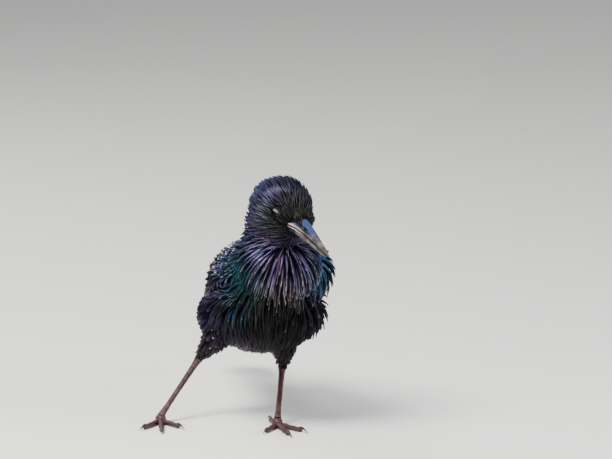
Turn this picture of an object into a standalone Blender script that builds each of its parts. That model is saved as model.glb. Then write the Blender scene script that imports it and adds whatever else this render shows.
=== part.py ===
"""A life-size starling, still, standing on its own feet.

The bird faces -Y with +X on its left. It stands hunched, the right leg splayed wide, and its
head is turned to its left, tilted, with the bill pointing down. Lengths are named in
millimetres and turned into metres where points are made. Three frames carry the named places:
the body frame (barrel, wings, tail), the head frame (skull, eyes, bill) and the floor frame.
"""

import math
import random

import bmesh
import bpy
from mathutils import Matrix, Vector
from mathutils.bvhtree import BVHTree

MM = 0.001
GAP = 0.3  # between nodes that touch
SEED = 11
COARSE = 2  # times that a small ball is divided
TINY = 1e-6  # metres, for corners that count as one
FLAT_ANGLE = 0.6

# Carriage: where the body and the head sit, and how they are turned, in degrees.
BODY_CENTRE = (0.0, 8.0, 54.0)
BODY_PITCH = 14.0  # breast up
BODY_ROLL = -4.0  # left side down, over the foot that carries it
HEAD_CENTRE = (3.1, -28.0, 94.2)
HEAD_YAW = 21.0  # to its left
HEAD_PITCH = 19.0  # bill down
HEAD_ROLL = 18.0  # left cheek down
TAIL_ROOT = (0.0, 43.0, -0.5)  # in the body frame
TAIL_DROOP = 2.0
TAIL_SWAY = 4.0  # to its left


def turn(axis, degrees):
    return Matrix.Rotation(math.radians(degrees), 4, axis)


FLOOR = Matrix.Identity(4)
BODY = Matrix.Translation(BODY_CENTRE) @ turn("Y", -BODY_ROLL) @ turn("X", -BODY_PITCH)
HEAD = (
    Matrix.Translation(HEAD_CENTRE)
    @ turn("Z", HEAD_YAW)
    @ turn("X", HEAD_PITCH)
    @ turn("Y", HEAD_ROLL)
)
TAIL = BODY @ Matrix.Translation(TAIL_ROOT) @ turn("Z", -TAIL_SWAY) @ turn("X", -TAIL_DROOP)

# Flesh with its plumage, as rounded masses: frame, centre, half-sizes across, along and up.
MASSES = {
    "barrel": (BODY, (0.3, 0, 0), (19.5, 39, 20.5)),
    "mantle": (BODY, (0.7, -7, 7.5), (17.5, 29, 15)),
    "flanks": (BODY, (0.3, -1, -8), (24, 31, 15.5)),
    "flank_right": (BODY, (-16, 4, -9), (9, 17, 10.5)),
    "flank_left": (BODY, (15.5, 4, -8), (9, 17, 10.5)),
    "breast": (BODY, (2.5, -17, -1), (22, 21.5, 20.5)),
    "wrist_left": (BODY, (13, -20, 9), (10.5, 13, 10)),
    "rump": (BODY, (0, 29, 1.5), (12.5, 25, 11)),
    "vent": (BODY, (0, 28, -6.5), (13, 24, 9.5)),
    "shoulders": (FLOOR, (2.5, -13, 70), (18, 15, 14)),
    "throat_base": (FLOOR, (2.5, -21, 72), (16, 15, 16)),
    "neck": (FLOOR, (2.2, -18.5, 79), (14.2, 14.5, 14)),
    "nape": (HEAD, (1.6, 5, -5.5), (10.6, 10, 11.5)),
    "crown": (HEAD, (0.3, 4, 1), (11.6, 10.8, 11)),
    "skull": (HEAD, (0, 1.5, 0), (12.4, 12.2, 12.6)),
    "face": (HEAD, (0, -6.5, -1), (6.2, 8.5, 6.8)),
    "chin": (HEAD, (0, -4.5, -6), (6.4, 8.6, 5.8)),
    "orbit_left": (HEAD, (5.0, -5.9, 0.7), (4.8, 6.6, 5.6)),
    "orbit_right": (HEAD, (-5.0, -5.9, 0.7), (4.8, 6.6, 5.6)),
}
PLUMP = 0.6  # given back to the masses, as blending wears it away
BLEND_VOXEL = 0.9
BLEND_PASSES = 10
BLEND_SOFTEN = 0.6
FLESH_TRIANGLES = 3400

# Cuts between head, neck and torso: a point on the cut and the way towards the head.
HEAD_CUT = (HEAD, (0, 0, -8.4), (0, -0.22, 0.98))
NECK_CUT = (FLOOR, (0, -19, 66), (0, -0.56, 0.83))

# Eyes and lids, in the head frame; x is for the left eye.
EYE_CENTRE = (6.5, -6.6, 1.1)
EYE_RADIUS = 3.1
LID_RADII = (4.05, 4.3, 4.15)
SOCKET_RADIUS = 3.65
LID_SLIT = (2.4, 1.55)  # half-length and half-height of the open part
SLIT_OUT = 4.0
SLIT_REACH = 5.5

# Bill, in the head frame: distance forward, half-width, mouth line, culmen, gonys.
BILL_ROWS = (
    (6.5, 4.9, -1.7, 1.5, -3.0),
    (8.8, 5.4, -1.4, 2.7, -3.3),
    (11.5, 4.6, -1.0, 4.0, -3.4),
    (14.5, 3.4, -0.6, 4.4, -3.1),
    (19.0, 2.5, -0.35, 3.9, -2.7),
    (25.0, 1.9, -0.3, 2.75, -2.3),
    (31.0, 1.4, -0.45, 1.5, -2.0),
    (35.5, 0.9, -0.7, 0.55, -1.75),
    (37.8, 0.42, -0.9, -0.45, -1.35),
)
BILL_SIDES = 8
BILL_ARCH = 0.85  # under 1 is fuller than an ellipse
BILL_PARTING = 0.35
GAPE_HINGE = (0.0, -9.0, -1.5)
GAPE_ANGLE = 1.2
LOWER_BILL_SHORTER = 0.965
NOSTRIL = ((2.0, -19.0, 1.9), (0.9, 1.5, 0.55))

# Folded wing, laid on a spindle round the body's axis, in the body frame.
SPINDLE_MIDDLE = -3.0
SPINDLE_OFFSET = 1.2  # towards the bird's left
SPINDLE_RADII = (21.5, 21.5)
SPINDLE_FRONT = (60.0, 60.0, 2.6)  # lengths for width and height, fullness
SPINDLE_REAR = (118.0, 99.0, 1.5)
SPINDLE_LEAST = 0.02  # share of the radius kept at the ends
SPINDLE_STEP = 0.5
VANE_THICK = 0.55
VANE_OUTLINE = ((0.0, 0.7), (0.5, 1.0), (0.86, 0.88), (1.0, 0.28))
VANE_UNEVEN = 0.6  # how far the tips fall out of line
SHINGLE_SLOPE = 0.11
ROOT_SINK = 1.5
# Each tier of vanes: count, then first and last of: root along, root angle, tip along,
# tip angle, width, lift off the spindle.
WING_TIERS = {
    "primaries": (5, (4, 6), (-2, 16), (93, 62), (25, 14), (6.4, 6.6), (0.2, 0.45)),
    "secondaries": (5, (2, 2), (10, 40), (56, 50), (10, 44), (6.8, 7.2), (0.8, 0.8)),
    "tertials": (3, (8, 6), (46, 68), (54, 38), (52, 72), (8.4, 8.0), (1.25, 1.35)),
    "greater_coverts": (6, (-12, -6), (4, 66), (15, 12), (7, 62), (7.2, 7.2), (1.5, 1.75)),
    "median_coverts": (5, (-19, -13), (4, 66), (0, -1), (8, 61), (8.4, 8.4), (1.9, 2.1)),
}
ARM_REACH = (-28.0, 44.0)
ARM_STATIONS = 8
ARM_CLOSED = 0.35  # share of the full spread at the very ends
ARM_SWELL = (0.12, 0.8)  # start and run of the swell along the arm
ARM_ANGLES = (0.0, 66.0)
ARM_LIFT = 0.5
ARM_FRONT_SINK = -3.5
ARM_EDGE_SINK = 0.5
ARM_DEPTH = 9.0
ARM_DEPTH_BEHIND = (6.0, 20.0)  # depth at the rear end and its growth forwards
ARM_INNER = 0.8  # spread of the inner side against the outer

# Tail feathers, in the tail frame.
TAIL_PAIRS = 6
TAIL_LENGTH = (63.0, 66.0)  # middle pair, outer pair
TAIL_ROOT_SPREAD = (0.7, 3.4)
TAIL_TIP_SPREAD = (2.4, 6.9)
TAIL_VANE_WIDTH = 8.4
TAIL_LAYER = 0.22
TAIL_STUMP_SIDES = 12
TAIL_STUMP = ((-10, 8.5, 5.5), (0, 7.5, 4.6), (10, 6.2, 3.0), (20, 4.6, 1.6))

# Legs: knee, ankle and the root of the toes, on the floor frame.
LEGS = {
    "right": {"knee": (-14.0, -2, 46), "ankle": (-23.7, 19.7, 25.8), "foot": (-40.9, 13.4, 3.2)},
    "left": {"knee": (8.5, -2, 44), "ankle": (10.6, 17.8, 21.6), "foot": (4.9, -2.6, 3.2)},
}
THIGH_SIDES = 12
THIGH_ROWS = ((0.0, 7.0), (0.35, 6.4), (0.6, 4.9), (0.82, 3.2), (0.95, 2.4), (1.0, 2.0))
SHANK_ROWS = ((0.0, 1.9), (0.08, 1.7), (0.18, 1.3), (0.5, 1.1), (0.85, 1.15), (1.0, 1.5))
SHANK_SIDES = 8
SHANK_DEEPER = 1.25  # front to back against side to side
SHANK_SUNK = 1.2  # of the shank's top in the thigh
SCUTES = 5
SCUTE_SPAN = (0.16, 0.88)  # shares of the shank from ankle to foot
SCUTE_GAP = 0.06  # share of a scute left free at each end
SCUTE_SIDES = 6
SCUTE_FORWARD = 0.5
SCUTE_RADII = (1.25, 1.37)  # upper and lower end
# Toes: heading in degrees to the bird's outer side, length, claw length, joints.
TOES = {
    "inner": (-33.0, 13.5, 5.6, 2),
    "middle": (0.0, 19.5, 6.6, 3),
    "outer": (28.0, 15.0, 5.6, 3),
    "hind": (180.0, 12.0, 8.0, 2),
}
FOOT_HEADING = {"right": -8.0, "left": 4.0}  # to the bird's left
TOE_RADIUS = (1.25, 1.0)
TOE_SIDES = 8
TOE_SUNK = 0.12  # how much of the round sole the floor cuts off
TOE_ARCH = (1.2, 6.0)  # height at the root and how soon it ends
KNUCKLE = 0.12
PAD_HEIGHT = 1.9
PAD_RADII = (2.3, 2.5, 2.1)
CLAW_RADIUS = 0.8
CLAW_TAPER = 0.85
CLAW_SIDES = 6
CLAW_STEPS = 4
CLAW_HEIGHT = 1.05
CLAW_SET_BACK = 1.2  # from the toe's end
CLAW_DROP = 0.75
CLAW_BOW = 0.9

# Shaggy throat: lance-shaped plumes fanning out from under the bill.
RUFF_HUB = (HEAD, (0, -8, -9))
RUFF_ROWS = 6
RUFF_FIRST_RING = 10.0
RUFF_RING_STEP = 5.2
RUFF_SPACING = 6.3
RUFF_SPREAD = 180.0
RUFF_CLEAR = 3.0  # of plume roots from the head
RUFF_LENGTH = (10.0, 16.0)
RUFF_WIDTH = 3.5
RUFF_THICK = 1.1
RUFF_SAG = 0.35  # how much the plumes hang
RUFF_LIFT = (-1.3, 1.7)
RUFF_CUT = 0.35  # plumes from the torso below the neck
RUFF_ABOVE_CUT = 2.0  # of plume roots from the neck's lower cut
RUFF_RING_SHARE = 1.25  # of a half circle, for the number of plumes in a ring
RUFF_LEAST = 6
RUFF_SCATTER = 0.03
RUFF_BACK = 0.25  # how far the rings lean forwards as they spread
PLUME_OUTLINE = ((0.0, 0.7), (0.42, 1.0), (1.0, 0.08))
PLUME_VARIES = (0.9, 1.1)
PLUME_FULLNESS = 0.6
PLUME_RISE = 0.35  # under 1 lifts the plume early

COLOURS = {
    "plumage": ((0.035, 0.03, 0.05), 0.38, 0.45),
    "throat": ((0.09, 0.06, 0.16), 0.35, 0.5),
    "wing": ((0.05, 0.04, 0.035), 0.45, 0.3),
    "bill": ((0.16, 0.17, 0.22), 0.4, 0.0),
    "eye": ((0.012, 0.008, 0.006), 0.06, 0.0),
    "leg": ((0.20, 0.075, 0.07), 0.5, 0.0),
    "claw": ((0.05, 0.035, 0.03), 0.35, 0.0),
}


# Mesh helpers


def clear_scene():
    for thing in list(bpy.data.objects):
        bpy.data.objects.remove(thing)


def material(name):
    made = bpy.data.materials.get(name)
    if made is None:
        made = bpy.data.materials.new(name)
        made.use_nodes = True
        colour, roughness, metallic = COLOURS[name]
        shader = made.node_tree.nodes["Principled BSDF"]
        shader.inputs["Base Color"].default_value = (*colour, 1.0)
        shader.inputs["Roughness"].default_value = roughness
        shader.inputs["Metallic"].default_value = metallic
    return made


def add_object(name, bm, finish=None):
    mesh = bpy.data.meshes.new(name)
    bmesh.ops.recalc_face_normals(bm, faces=bm.faces)
    bm.to_mesh(mesh)
    bm.free()
    made = bpy.data.objects.new(name, mesh)
    bpy.context.scene.collection.objects.link(made)
    if finish:
        mesh.materials.append(material(finish))
    return made


def discard(things):
    for thing in things:
        bpy.data.objects.remove(thing)


def with_modifiers_applied(thing):
    """Replaces the object's mesh by what its modifiers make of it."""
    graph = bpy.context.evaluated_depsgraph_get()
    mesh = bpy.data.meshes.new_from_object(thing.evaluated_get(graph))
    thing.modifiers.clear()
    thing.data = mesh
    return thing


def placed(frame, place):
    """A named place in a frame, as a point in metres."""
    return (frame @ Vector(place)) * MM


def heading(frame, way):
    return (frame.to_3x3() @ Vector(way)).normalized()


def mass(name, frame, centre, radii, detail=3):
    """A rounded mass: a ball stretched to three half-sizes in its frame."""
    bm = bmesh.new()
    bmesh.ops.create_icosphere(bm, subdivisions=detail, radius=1.0)
    stretch = Matrix.Diagonal((*radii, 1.0))
    whole = Matrix.Scale(MM, 4) @ frame @ Matrix.Translation(centre) @ stretch
    bmesh.ops.transform(bm, matrix=whole, verts=bm.verts)
    return add_object(name, bm)


def loft(name, rings, finish=None):
    """A closed skin through rings of equally many points, capped at both ends."""
    bm = bmesh.new()
    made = [[bm.verts.new(p) for p in ring] for ring in rings]
    count = len(made[0])
    for near, far in zip(made, made[1:]):
        for i in range(count):
            j = (i + 1) % count
            bm.faces.new((near[i], near[j], far[j], far[i]))
    bm.faces.new(made[0])
    bm.faces.new(made[-1])
    bmesh.ops.triangulate(bm, faces=bm.faces)
    return add_object(name, bm, finish)


def tube(name, path, radii, sides, up, finish=None, deeper=1.0):
    """A tapering limb along points in metres, with radii in millimetres."""
    rings = []
    for i, centre in enumerate(path):
        along = (path[min(i + 1, len(path) - 1)] - path[max(i - 1, 0)]).normalized()
        side = along.cross(up).normalized()
        front = side.cross(along).normalized()
        reach = radii[i] * MM
        ring = []
        for k in range(sides):
            angle = math.tau * (k + 0.5) / sides
            across = side * math.cos(angle) + front * math.sin(angle) * deeper
            ring.append(centre + across * reach)
        rings.append(ring)
    return loft(name, rings, finish)


def bend(start, end, sag, steps):
    """Points on an arc from start to end that bows by the vector sag."""
    return [
        start.lerp(end, i / steps) + sag * math.sin(math.pi * i / steps)
        for i in range(steps + 1)
    ]


def largest_body(thing):
    """Keeps the largest closed surface of an object's mesh and drops any loose scrap."""
    bm = bmesh.new()
    bm.from_mesh(thing.data)
    bmesh.ops.remove_doubles(bm, verts=bm.verts, dist=TINY)
    left, bodies = set(bm.verts), []
    while left:
        body, edge = set(), [left.pop()]
        while edge:
            vertex = edge.pop()
            body.add(vertex)
            near = {e.other_vert(vertex) for e in vertex.link_edges} & left
            left -= near
            edge.extend(near)
        bodies.append(body)
    bodies.sort(key=len, reverse=True)
    scraps = [vertex for body in bodies[1:] for vertex in body]
    bmesh.ops.delete(bm, geom=scraps, context="VERTS")
    bmesh.ops.triangulate(bm, faces=bm.faces)
    bm.to_mesh(thing.data)
    bm.free()
    return thing


def boolean(thing, others, operation, solver="EXACT"):
    """Joins the others to an object, or cuts them from it, and removes them."""
    helpers = bpy.data.collections.new("helpers")
    bpy.context.scene.collection.children.link(helpers)
    for other in others:
        helpers.objects.link(other)
    step = thing.modifiers.new("fit", "BOOLEAN")
    step.operation = operation
    step.operand_type = "COLLECTION"
    step.collection = helpers
    step.solver = solver
    with_modifiers_applied(thing)
    discard(others)
    bpy.data.collections.remove(helpers)
    return largest_body(thing)


def melt_flats(thing):
    """Melts the edges that run across flat faces."""
    bm = bmesh.new()
    bm.from_mesh(thing.data)
    bmesh.ops.dissolve_limit(
        bm, angle_limit=math.radians(FLAT_ANGLE), verts=bm.verts, edges=bm.edges
    )
    bmesh.ops.triangulate(bm, faces=bm.faces)
    bm.to_mesh(thing.data)
    bm.free()
    return thing


def swollen(thing, by=GAP):
    """A copy whose surface stands off by the gap, to cut a neighbour clear."""
    copy = thing.copy()
    copy.data = thing.data.copy()
    bpy.context.scene.collection.objects.link(copy)
    bm = bmesh.new()
    bm.from_mesh(copy.data)
    bm.normal_update()
    shifts = [vertex.normal * by * MM for vertex in bm.verts]
    for vertex, shift in zip(bm.verts, shifts):
        vertex.co += shift
    bm.to_mesh(copy.data)
    bm.free()
    return copy


def half_of(thing, name, cuts, finish):
    """A copy of an object kept on the side that each cut's way points to, and capped."""
    bm = bmesh.new()
    bm.from_mesh(thing.data)
    for point, way in cuts:
        everything = bm.verts[:] + bm.edges[:] + bm.faces[:]
        cut = bmesh.ops.bisect_plane(
            bm, geom=everything, plane_co=point, plane_no=way, clear_inner=True, dist=TINY / 10
        )
        rim = [e for e in cut["geom_cut"] if isinstance(e, bmesh.types.BMEdge)]
        bmesh.ops.triangle_fill(bm, edges=rim, use_beauty=True)
    bmesh.ops.triangulate(bm, faces=bm.faces)
    return largest_body(add_object(name, bm, finish))


def plane(cut, side, back_off=0.0):
    """A cut as a point and a way; side -1 keeps what lies behind it, backed off by the gap."""
    frame, place, way = cut
    direction = heading(frame, way) * side
    return placed(frame, place) + direction * back_off * MM, direction


# Flesh


def make_flesh():
    """All the rounded masses melted into one smooth body."""
    pieces = []
    for name, (frame, centre, radii) in MASSES.items():
        full = [radius + PLUMP for radius in radii]
        pieces.append(mass(name, frame, centre, full, detail=4))
    whole, others = pieces[0], pieces[1:]
    boolean(whole, others, "UNION", "MANIFOLD")
    blend = whole.modifiers.new("blend", "REMESH")
    blend.mode = "VOXEL"
    blend.voxel_size = BLEND_VOXEL * MM
    soften = whole.modifiers.new("soften", "SMOOTH")
    soften.factor = BLEND_SOFTEN
    soften.iterations = BLEND_PASSES
    with_modifiers_applied(whole)
    thin = whole.modifiers.new("thin", "DECIMATE")
    thin.ratio = FLESH_TRIANGLES / (2 * len(whole.data.polygons))
    with_modifiers_applied(whole)
    whole.name = "flesh"
    return largest_body(whole)


def surface_tree(thing):
    graph = bpy.context.evaluated_depsgraph_get()
    return BVHTree.FromObject(thing, graph)


# Head


def make_eye(side, name):
    x, y, z = EYE_CENTRE
    bm = bmesh.new()
    bmesh.ops.create_icosphere(bm, subdivisions=3, radius=EYE_RADIUS * MM)
    bmesh.ops.translate(bm, vec=placed(HEAD, (side * x, y, z)), verts=bm.verts)
    return add_object(name, bm, "eye")


def open_eyes(head):
    """Raises the lids round each eye, then hollows the sockets and opens the slits."""
    x, y, z = EYE_CENTRE
    half_length, half_height = LID_SLIT
    lids, hollows = [], []
    for side in (1, -1):
        centre = (side * x, y, z)
        lids.append(mass("lids", HEAD, centre, LID_RADII))
        hollows.append(mass("socket", HEAD, centre, [SOCKET_RADIUS] * 3, detail=COARSE))
        outside = (side * (x + SLIT_OUT), y, z)
        hollows.append(mass("slit", HEAD, outside, (SLIT_REACH, half_length, half_height)))
    boolean(head, lids, "UNION")
    return boolean(head, hollows, "DIFFERENCE")


def bill_ring(row, upper):
    """Half of the bill's section at a row: a flat mouth side under or over a rounded arch."""
    forward, half_width, mouth, culmen, gonys = row
    flat = mouth + (BILL_PARTING / 2 if upper else -BILL_PARTING / 2)
    height = (culmen - flat) if upper else (gonys - flat)
    ring = []
    for k in range(BILL_SIDES + 1):
        angle = math.pi * k / BILL_SIDES
        across = half_width * math.cos(angle)
        rise = height * max(0.0, math.sin(angle)) ** BILL_ARCH
        ring.append((across, -forward, flat + rise))
    return ring


def make_bill(name, upper):
    rings = [bill_ring(row, upper) for row in BILL_ROWS]
    if not upper:
        hinge = Matrix.Translation(GAPE_HINGE)
        shorter = Matrix.Diagonal((1, LOWER_BILL_SHORTER, 1, 1))
        drop = hinge @ turn("X", GAPE_ANGLE) @ shorter @ hinge.inverted()
        rings = [[drop @ Vector(p) for p in ring] for ring in rings]
    rings = [[placed(HEAD, p) for p in ring] for ring in rings]
    bill = loft(name, rings, "bill")
    if upper:
        (x, y, z), radii = NOSTRIL
        pits = [mass("pit", HEAD, (side * x, y, z), radii, detail=COARSE) for side in (1, -1)]
        boolean(bill, pits, "DIFFERENCE")
    return bill


# Wings and tail


def spindle(along, angle, lift, side):
    """A point over the body's flank: along the back, round the body, and off the spindle."""
    ahead = along - SPINDLE_MIDDLE
    wide_length, tall_length, fullness = SPINDLE_REAR if ahead > 0 else SPINDLE_FRONT
    wide, tall = (
        radius * max(SPINDLE_LEAST, 1 - (abs(ahead) / length) ** fullness) + lift
        for radius, length in zip(SPINDLE_RADII, (wide_length, tall_length))
    )
    turned = math.radians(angle)
    across = SPINDLE_OFFSET + side * wide * math.cos(turned)
    return Vector((across, along, tall * math.sin(turned)))


def plate(name, middles, sides, normals, widths, thick, slope=SHINGLE_SLOPE):
    """A flat tapering vane of even thickness, one long edge a little higher than the other."""
    rings = []
    for middle, side, normal, width in zip(middles, sides, normals, widths):
        half = side * width / 2 * MM
        tilt = normal * slope * width / 2 * MM
        left = middle - half - tilt
        right = middle + half + tilt
        down = normal * (-thick * MM)
        rings.append([left, right, right + down, left + down])
    return loft(name, rings)


def lock(name, middles, sides, normals, widths, thick):
    """A flat pointed lock with a ridge along its middle."""
    rings = []
    for middle, side, normal, width in zip(middles, sides, normals, widths):
        half = side * width / 2 * MM
        rise = normal * min(thick, width * PLUME_FULLNESS) / 2 * MM
        rings.append([middle - half, middle + rise, middle + half, middle - rise])
    return loft(name, rings)


def blend_of(pair, share):
    return pair[0] + (pair[1] - pair[0]) * share


def wing_vane(side, share, tier, generator):
    """One feather of a tier, laid along the spindle from its root to its tip."""
    _, root, root_angle, tip, tip_angle, width, lift = tier
    start, end = blend_of(root, share), blend_of(tip, share)
    first, last = blend_of(root_angle, share), blend_of(tip_angle, share)
    end += generator.uniform(-VANE_UNEVEN, VANE_UNEVEN)
    near = SPINDLE_STEP
    middles, sides, normals, widths = [], [], [], []
    for station, fullness in VANE_OUTLINE:
        along = start + (end - start) * station
        angle = first + (last - first) * station
        rise = blend_of(lift, share) - ROOT_SINK * (1 - station) ** 2
        here = spindle(along, angle, rise, side)
        before, after = (spindle(along + step, angle, rise, side) for step in (-near, near))
        ahead = after - before
        down = spindle(along, angle - 1, rise, side) - spindle(along, angle + 1, rise, side)
        normal = down.cross(ahead).normalized()
        if normal.x * side < 0:
            normal = -normal
        across = (down - ahead.normalized() * down.dot(ahead.normalized())).normalized()
        middles.append(placed(BODY, here))
        normals.append(heading(BODY, normal))
        sides.append(heading(BODY, across))
        widths.append(blend_of(width, share) * fullness)
    return plate("vane", middles, sides, normals, widths, VANE_THICK)


def wing_arm(side, name):
    """The fleshy part of the folded wing, sunk into the body before the body is cut away."""
    rings = []
    start, end = ARM_REACH
    swell_start, swell_run = ARM_SWELL
    middle_angle = sum(ARM_ANGLES) / 2
    for i in range(ARM_STATIONS):
        share = i / (ARM_STATIONS - 1)
        along = start + (end - start) * share
        swell = math.sin(math.pi * min(1.0, swell_start + swell_run * share))
        half = (ARM_ANGLES[1] - ARM_ANGLES[0]) / 2 * blend_of((ARM_CLOSED, 1.0), swell)
        lift = ARM_LIFT if i else ARM_FRONT_SINK
        outer = [
            spindle(along, middle_angle + half * k, lift - ARM_EDGE_SINK * abs(k) ** 3, side)
            for k in (-1, -0.5, 0, 0.5, 1)
        ]
        least, growth = ARM_DEPTH_BEHIND
        depth = min(ARM_DEPTH, least + growth * (1 - share)) / 2
        inner = [
            spindle(along, middle_angle + half * ARM_INNER * k, lift - depth, side)
            for k in (1, 0, -1)
        ]
        rings.append([placed(BODY, p) for p in outer + inner])
    return loft(name, rings, "wing")


def make_wing(side, name, clear_of):
    generator = random.Random(SEED)
    wing = wing_arm(side, name)
    vanes = []
    for tier in WING_TIERS.values():
        count = tier[0]
        vanes += [wing_vane(side, k / (count - 1), tier, generator) for k in range(count)]
    boolean(wing, vanes, "UNION")
    for thing in clear_of:
        boolean(wing, [swollen(thing)], "DIFFERENCE")
    return melt_flats(wing)


def tail_vane(pair, side):
    """One tail feather; the middle pair lies on top and each pair outwards lies lower."""
    share = pair / (TAIL_PAIRS - 1)
    length = blend_of(TAIL_LENGTH, share)
    root = side * blend_of(TAIL_ROOT_SPREAD, share)
    tip = side * blend_of(TAIL_TIP_SPREAD, share)
    layer = (2 * pair + (side > 0)) * TAIL_LAYER
    middles, sides, normals, widths = [], [], [], []
    for station, fullness in VANE_OUTLINE:
        x = root + (tip - root) * station
        middles.append(placed(TAIL, (x, length * station, -layer)))
        sides.append(heading(TAIL, (1, 0, 0)))
        normals.append(heading(TAIL, (0, 0, 1)))
        widths.append(TAIL_VANE_WIDTH * fullness)
    return plate("vane", middles, sides, normals, widths, VANE_THICK, -side * SHINGLE_SLOPE)


def make_tail(flesh):
    rings = []
    depth = TAIL_PAIRS * TAIL_LAYER
    for along, wide, tall in TAIL_STUMP:
        ring = []
        for k in range(TAIL_STUMP_SIDES):
            angle = math.tau * k / TAIL_STUMP_SIDES
            place = (wide * math.cos(angle), along, tall * math.sin(angle) - depth)
            ring.append(placed(TAIL, place))
        rings.append(ring)
    tail = loft("tail", rings, "wing")
    vanes = [tail_vane(pair, side) for pair in range(TAIL_PAIRS) for side in (1, -1)]
    boolean(tail, vanes, "UNION")
    return melt_flats(boolean(tail, [swollen(flesh)], "DIFFERENCE"))


# Legs


def make_thigh(side, joints, flesh):
    knee, ankle = (Vector(joints[k]) * MM for k in ("knee", "ankle"))
    path = [knee.lerp(ankle, share) for share, _ in THIGH_ROWS]
    radii = [radius for _, radius in THIGH_ROWS]
    thigh = tube(f"thigh_{side}", path, radii, THIGH_SIDES, Vector((0, -1, 0)), "plumage")
    return boolean(thigh, [swollen(flesh)], "DIFFERENCE")


def make_shank(side, joints, thigh):
    """The bare lower leg with its raised scutes down the front."""
    ankle, foot = (Vector(joints[k]) * MM for k in ("ankle", "foot"))
    way = (foot - ankle).normalized()
    ankle = ankle - way * SHANK_SUNK * MM
    path = [ankle.lerp(foot, share) for share, _ in SHANK_ROWS]
    radii = [radius for _, radius in SHANK_ROWS]
    forward = Vector((0, -1, 0))
    name = f"shank_{side}"
    shank = tube(name, path, radii, SHANK_SIDES, forward, "leg", deeper=SHANK_DEEPER)
    front = (forward - way * forward.dot(way)).normalized() * SCUTE_FORWARD * MM
    scutes = []
    for k in range(SCUTES):
        ends = ((k + end) / SCUTES for end in (SCUTE_GAP, 1 - SCUTE_GAP))
        piece = [ankle.lerp(foot, blend_of(SCUTE_SPAN, end)) + front for end in ends]
        scutes.append(tube("scute", piece, SCUTE_RADII, SCUTE_SIDES, forward))
    boolean(shank, scutes, "UNION")
    return boolean(shank, [swollen(thigh)], "DIFFERENCE")


def toe_way(side, name):
    """The way a toe points on the floor; outward is the bird's outer side."""
    outward = 1 if side == "left" else -1
    angle = math.radians(FOOT_HEADING[side] + outward * TOES[name][0])
    return Vector((math.sin(angle), -math.cos(angle), 0))


def toe_path(root, way, length, joints):
    """Centres and radii down a toe: the sole is level and each joint swells a little."""
    steps = joints * 2 + 1
    arch_height, arch_end = TOE_ARCH
    centres, radii = [], []
    for i in range(steps + 1):
        share = i / steps
        knuckle = KNUCKLE * (1 if i % 2 else -1)
        radius = blend_of(TOE_RADIUS, share) + (knuckle if 0 < i < steps else 0)
        level = (radius - TOE_SUNK) * MM
        place = root + way * length * share * MM
        arch = max(0.0, 1 - share * arch_end) * arch_height * MM
        centres.append(Vector((place.x, place.y, level + arch)))
        radii.append(radius)
    return centres, radii


def make_foot(side, joints, shank):
    root = Vector(joints["foot"]) * MM
    start = Vector((root.x, root.y, 0))
    pieces = []
    for name, (_, length, _, joint_count) in TOES.items():
        way = toe_way(side, name)
        centres, radii = toe_path(start, way, length, joint_count)
        pieces.append(tube(name, centres, radii, TOE_SIDES, Vector((0, 0, 1))))
    pad = mass("pad", FLOOR, (root.x / MM, root.y / MM, PAD_HEIGHT), PAD_RADII, detail=COARSE)
    foot = pieces[0]
    foot.name = f"foot_{side}"
    foot.data.materials.append(material("leg"))
    boolean(foot, pieces[1:] + [pad], "UNION")
    boolean(foot, [swollen(shank)], "DIFFERENCE")
    level = half_of(foot, f"foot_{side}_level", [(Vector(), Vector((0, 0, 1)))], "leg")
    discard([foot])
    level.name = f"foot_{side}"
    return level


def make_claw(side, toe, joints, foot):
    """A hooked claw that leaves the toe's end and curves down to just above the floor."""
    _, length, claw, _ = TOES[toe]
    way = toe_way(side, toe)
    root = Vector(joints["foot"]) * MM
    start = Vector((root.x, root.y, CLAW_HEIGHT * MM)) + way * (length - CLAW_SET_BACK) * MM
    end = start + way * claw * MM + Vector((0, 0, -CLAW_DROP * MM))
    path = bend(start, end, Vector((0, 0, CLAW_BOW * MM)), CLAW_STEPS)
    radii = [CLAW_RADIUS * (1 - CLAW_TAPER * i / CLAW_STEPS) for i in range(CLAW_STEPS + 1)]
    made = tube(f"claw_{side}_{toe}", path, radii, CLAW_SIDES, Vector((0, 0, 1)), "claw")
    return boolean(made, [swollen(foot)], "DIFFERENCE")


# Ruff


def ruff_roots(tree, hub, generator):
    """Where the throat plumes spring: rings round the hub on the front of neck and breast."""
    roots = []
    for row in range(RUFF_ROWS):
        ring = (RUFF_FIRST_RING + RUFF_RING_STEP * row) * MM
        count = max(RUFF_LEAST, int(math.pi * RUFF_RING_SHARE * ring / (RUFF_SPACING * MM)))
        for k in range(count):
            swing = ((k + 0.5 * (row % 2)) / count - 0.5) * math.radians(RUFF_SPREAD)
            swing += generator.uniform(-RUFF_SCATTER, RUFF_SCATTER)
            way = Vector((math.sin(swing), -RUFF_BACK, -math.cos(swing))).normalized()
            spot, normal, _, _ = tree.find_nearest(hub + way * ring)
            roots.append((spot, normal, row / (RUFF_ROWS - 1)))
    return roots


def ruff_plume(tree, hub, root, share, generator):
    """A lance-shaped plume that leaves the throat and lies down and outwards over the breast."""
    length = blend_of(RUFF_LENGTH, share) * generator.uniform(*PLUME_VARIES)
    here, facing = root
    middles, sides, normals, widths = [], [], [], []
    done = 0.0
    for station, fullness in PLUME_OUTLINE:
        step = (station - done) * length * MM
        away = (here - hub).normalized() + Vector((0, 0, -RUFF_SAG))
        along = (away - facing * away.dot(facing)).normalized()
        here, facing, _, _ = tree.find_nearest(here + along * step)
        done = station
        lift = blend_of(RUFF_LIFT, station**PLUME_RISE)
        middles.append(here + facing * lift * MM)
        normals.append(facing)
        sides.append(along.cross(facing).normalized())
        widths.append(RUFF_WIDTH * fullness)
    return lock("plume", middles, sides, normals, widths, RUFF_THICK)


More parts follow.
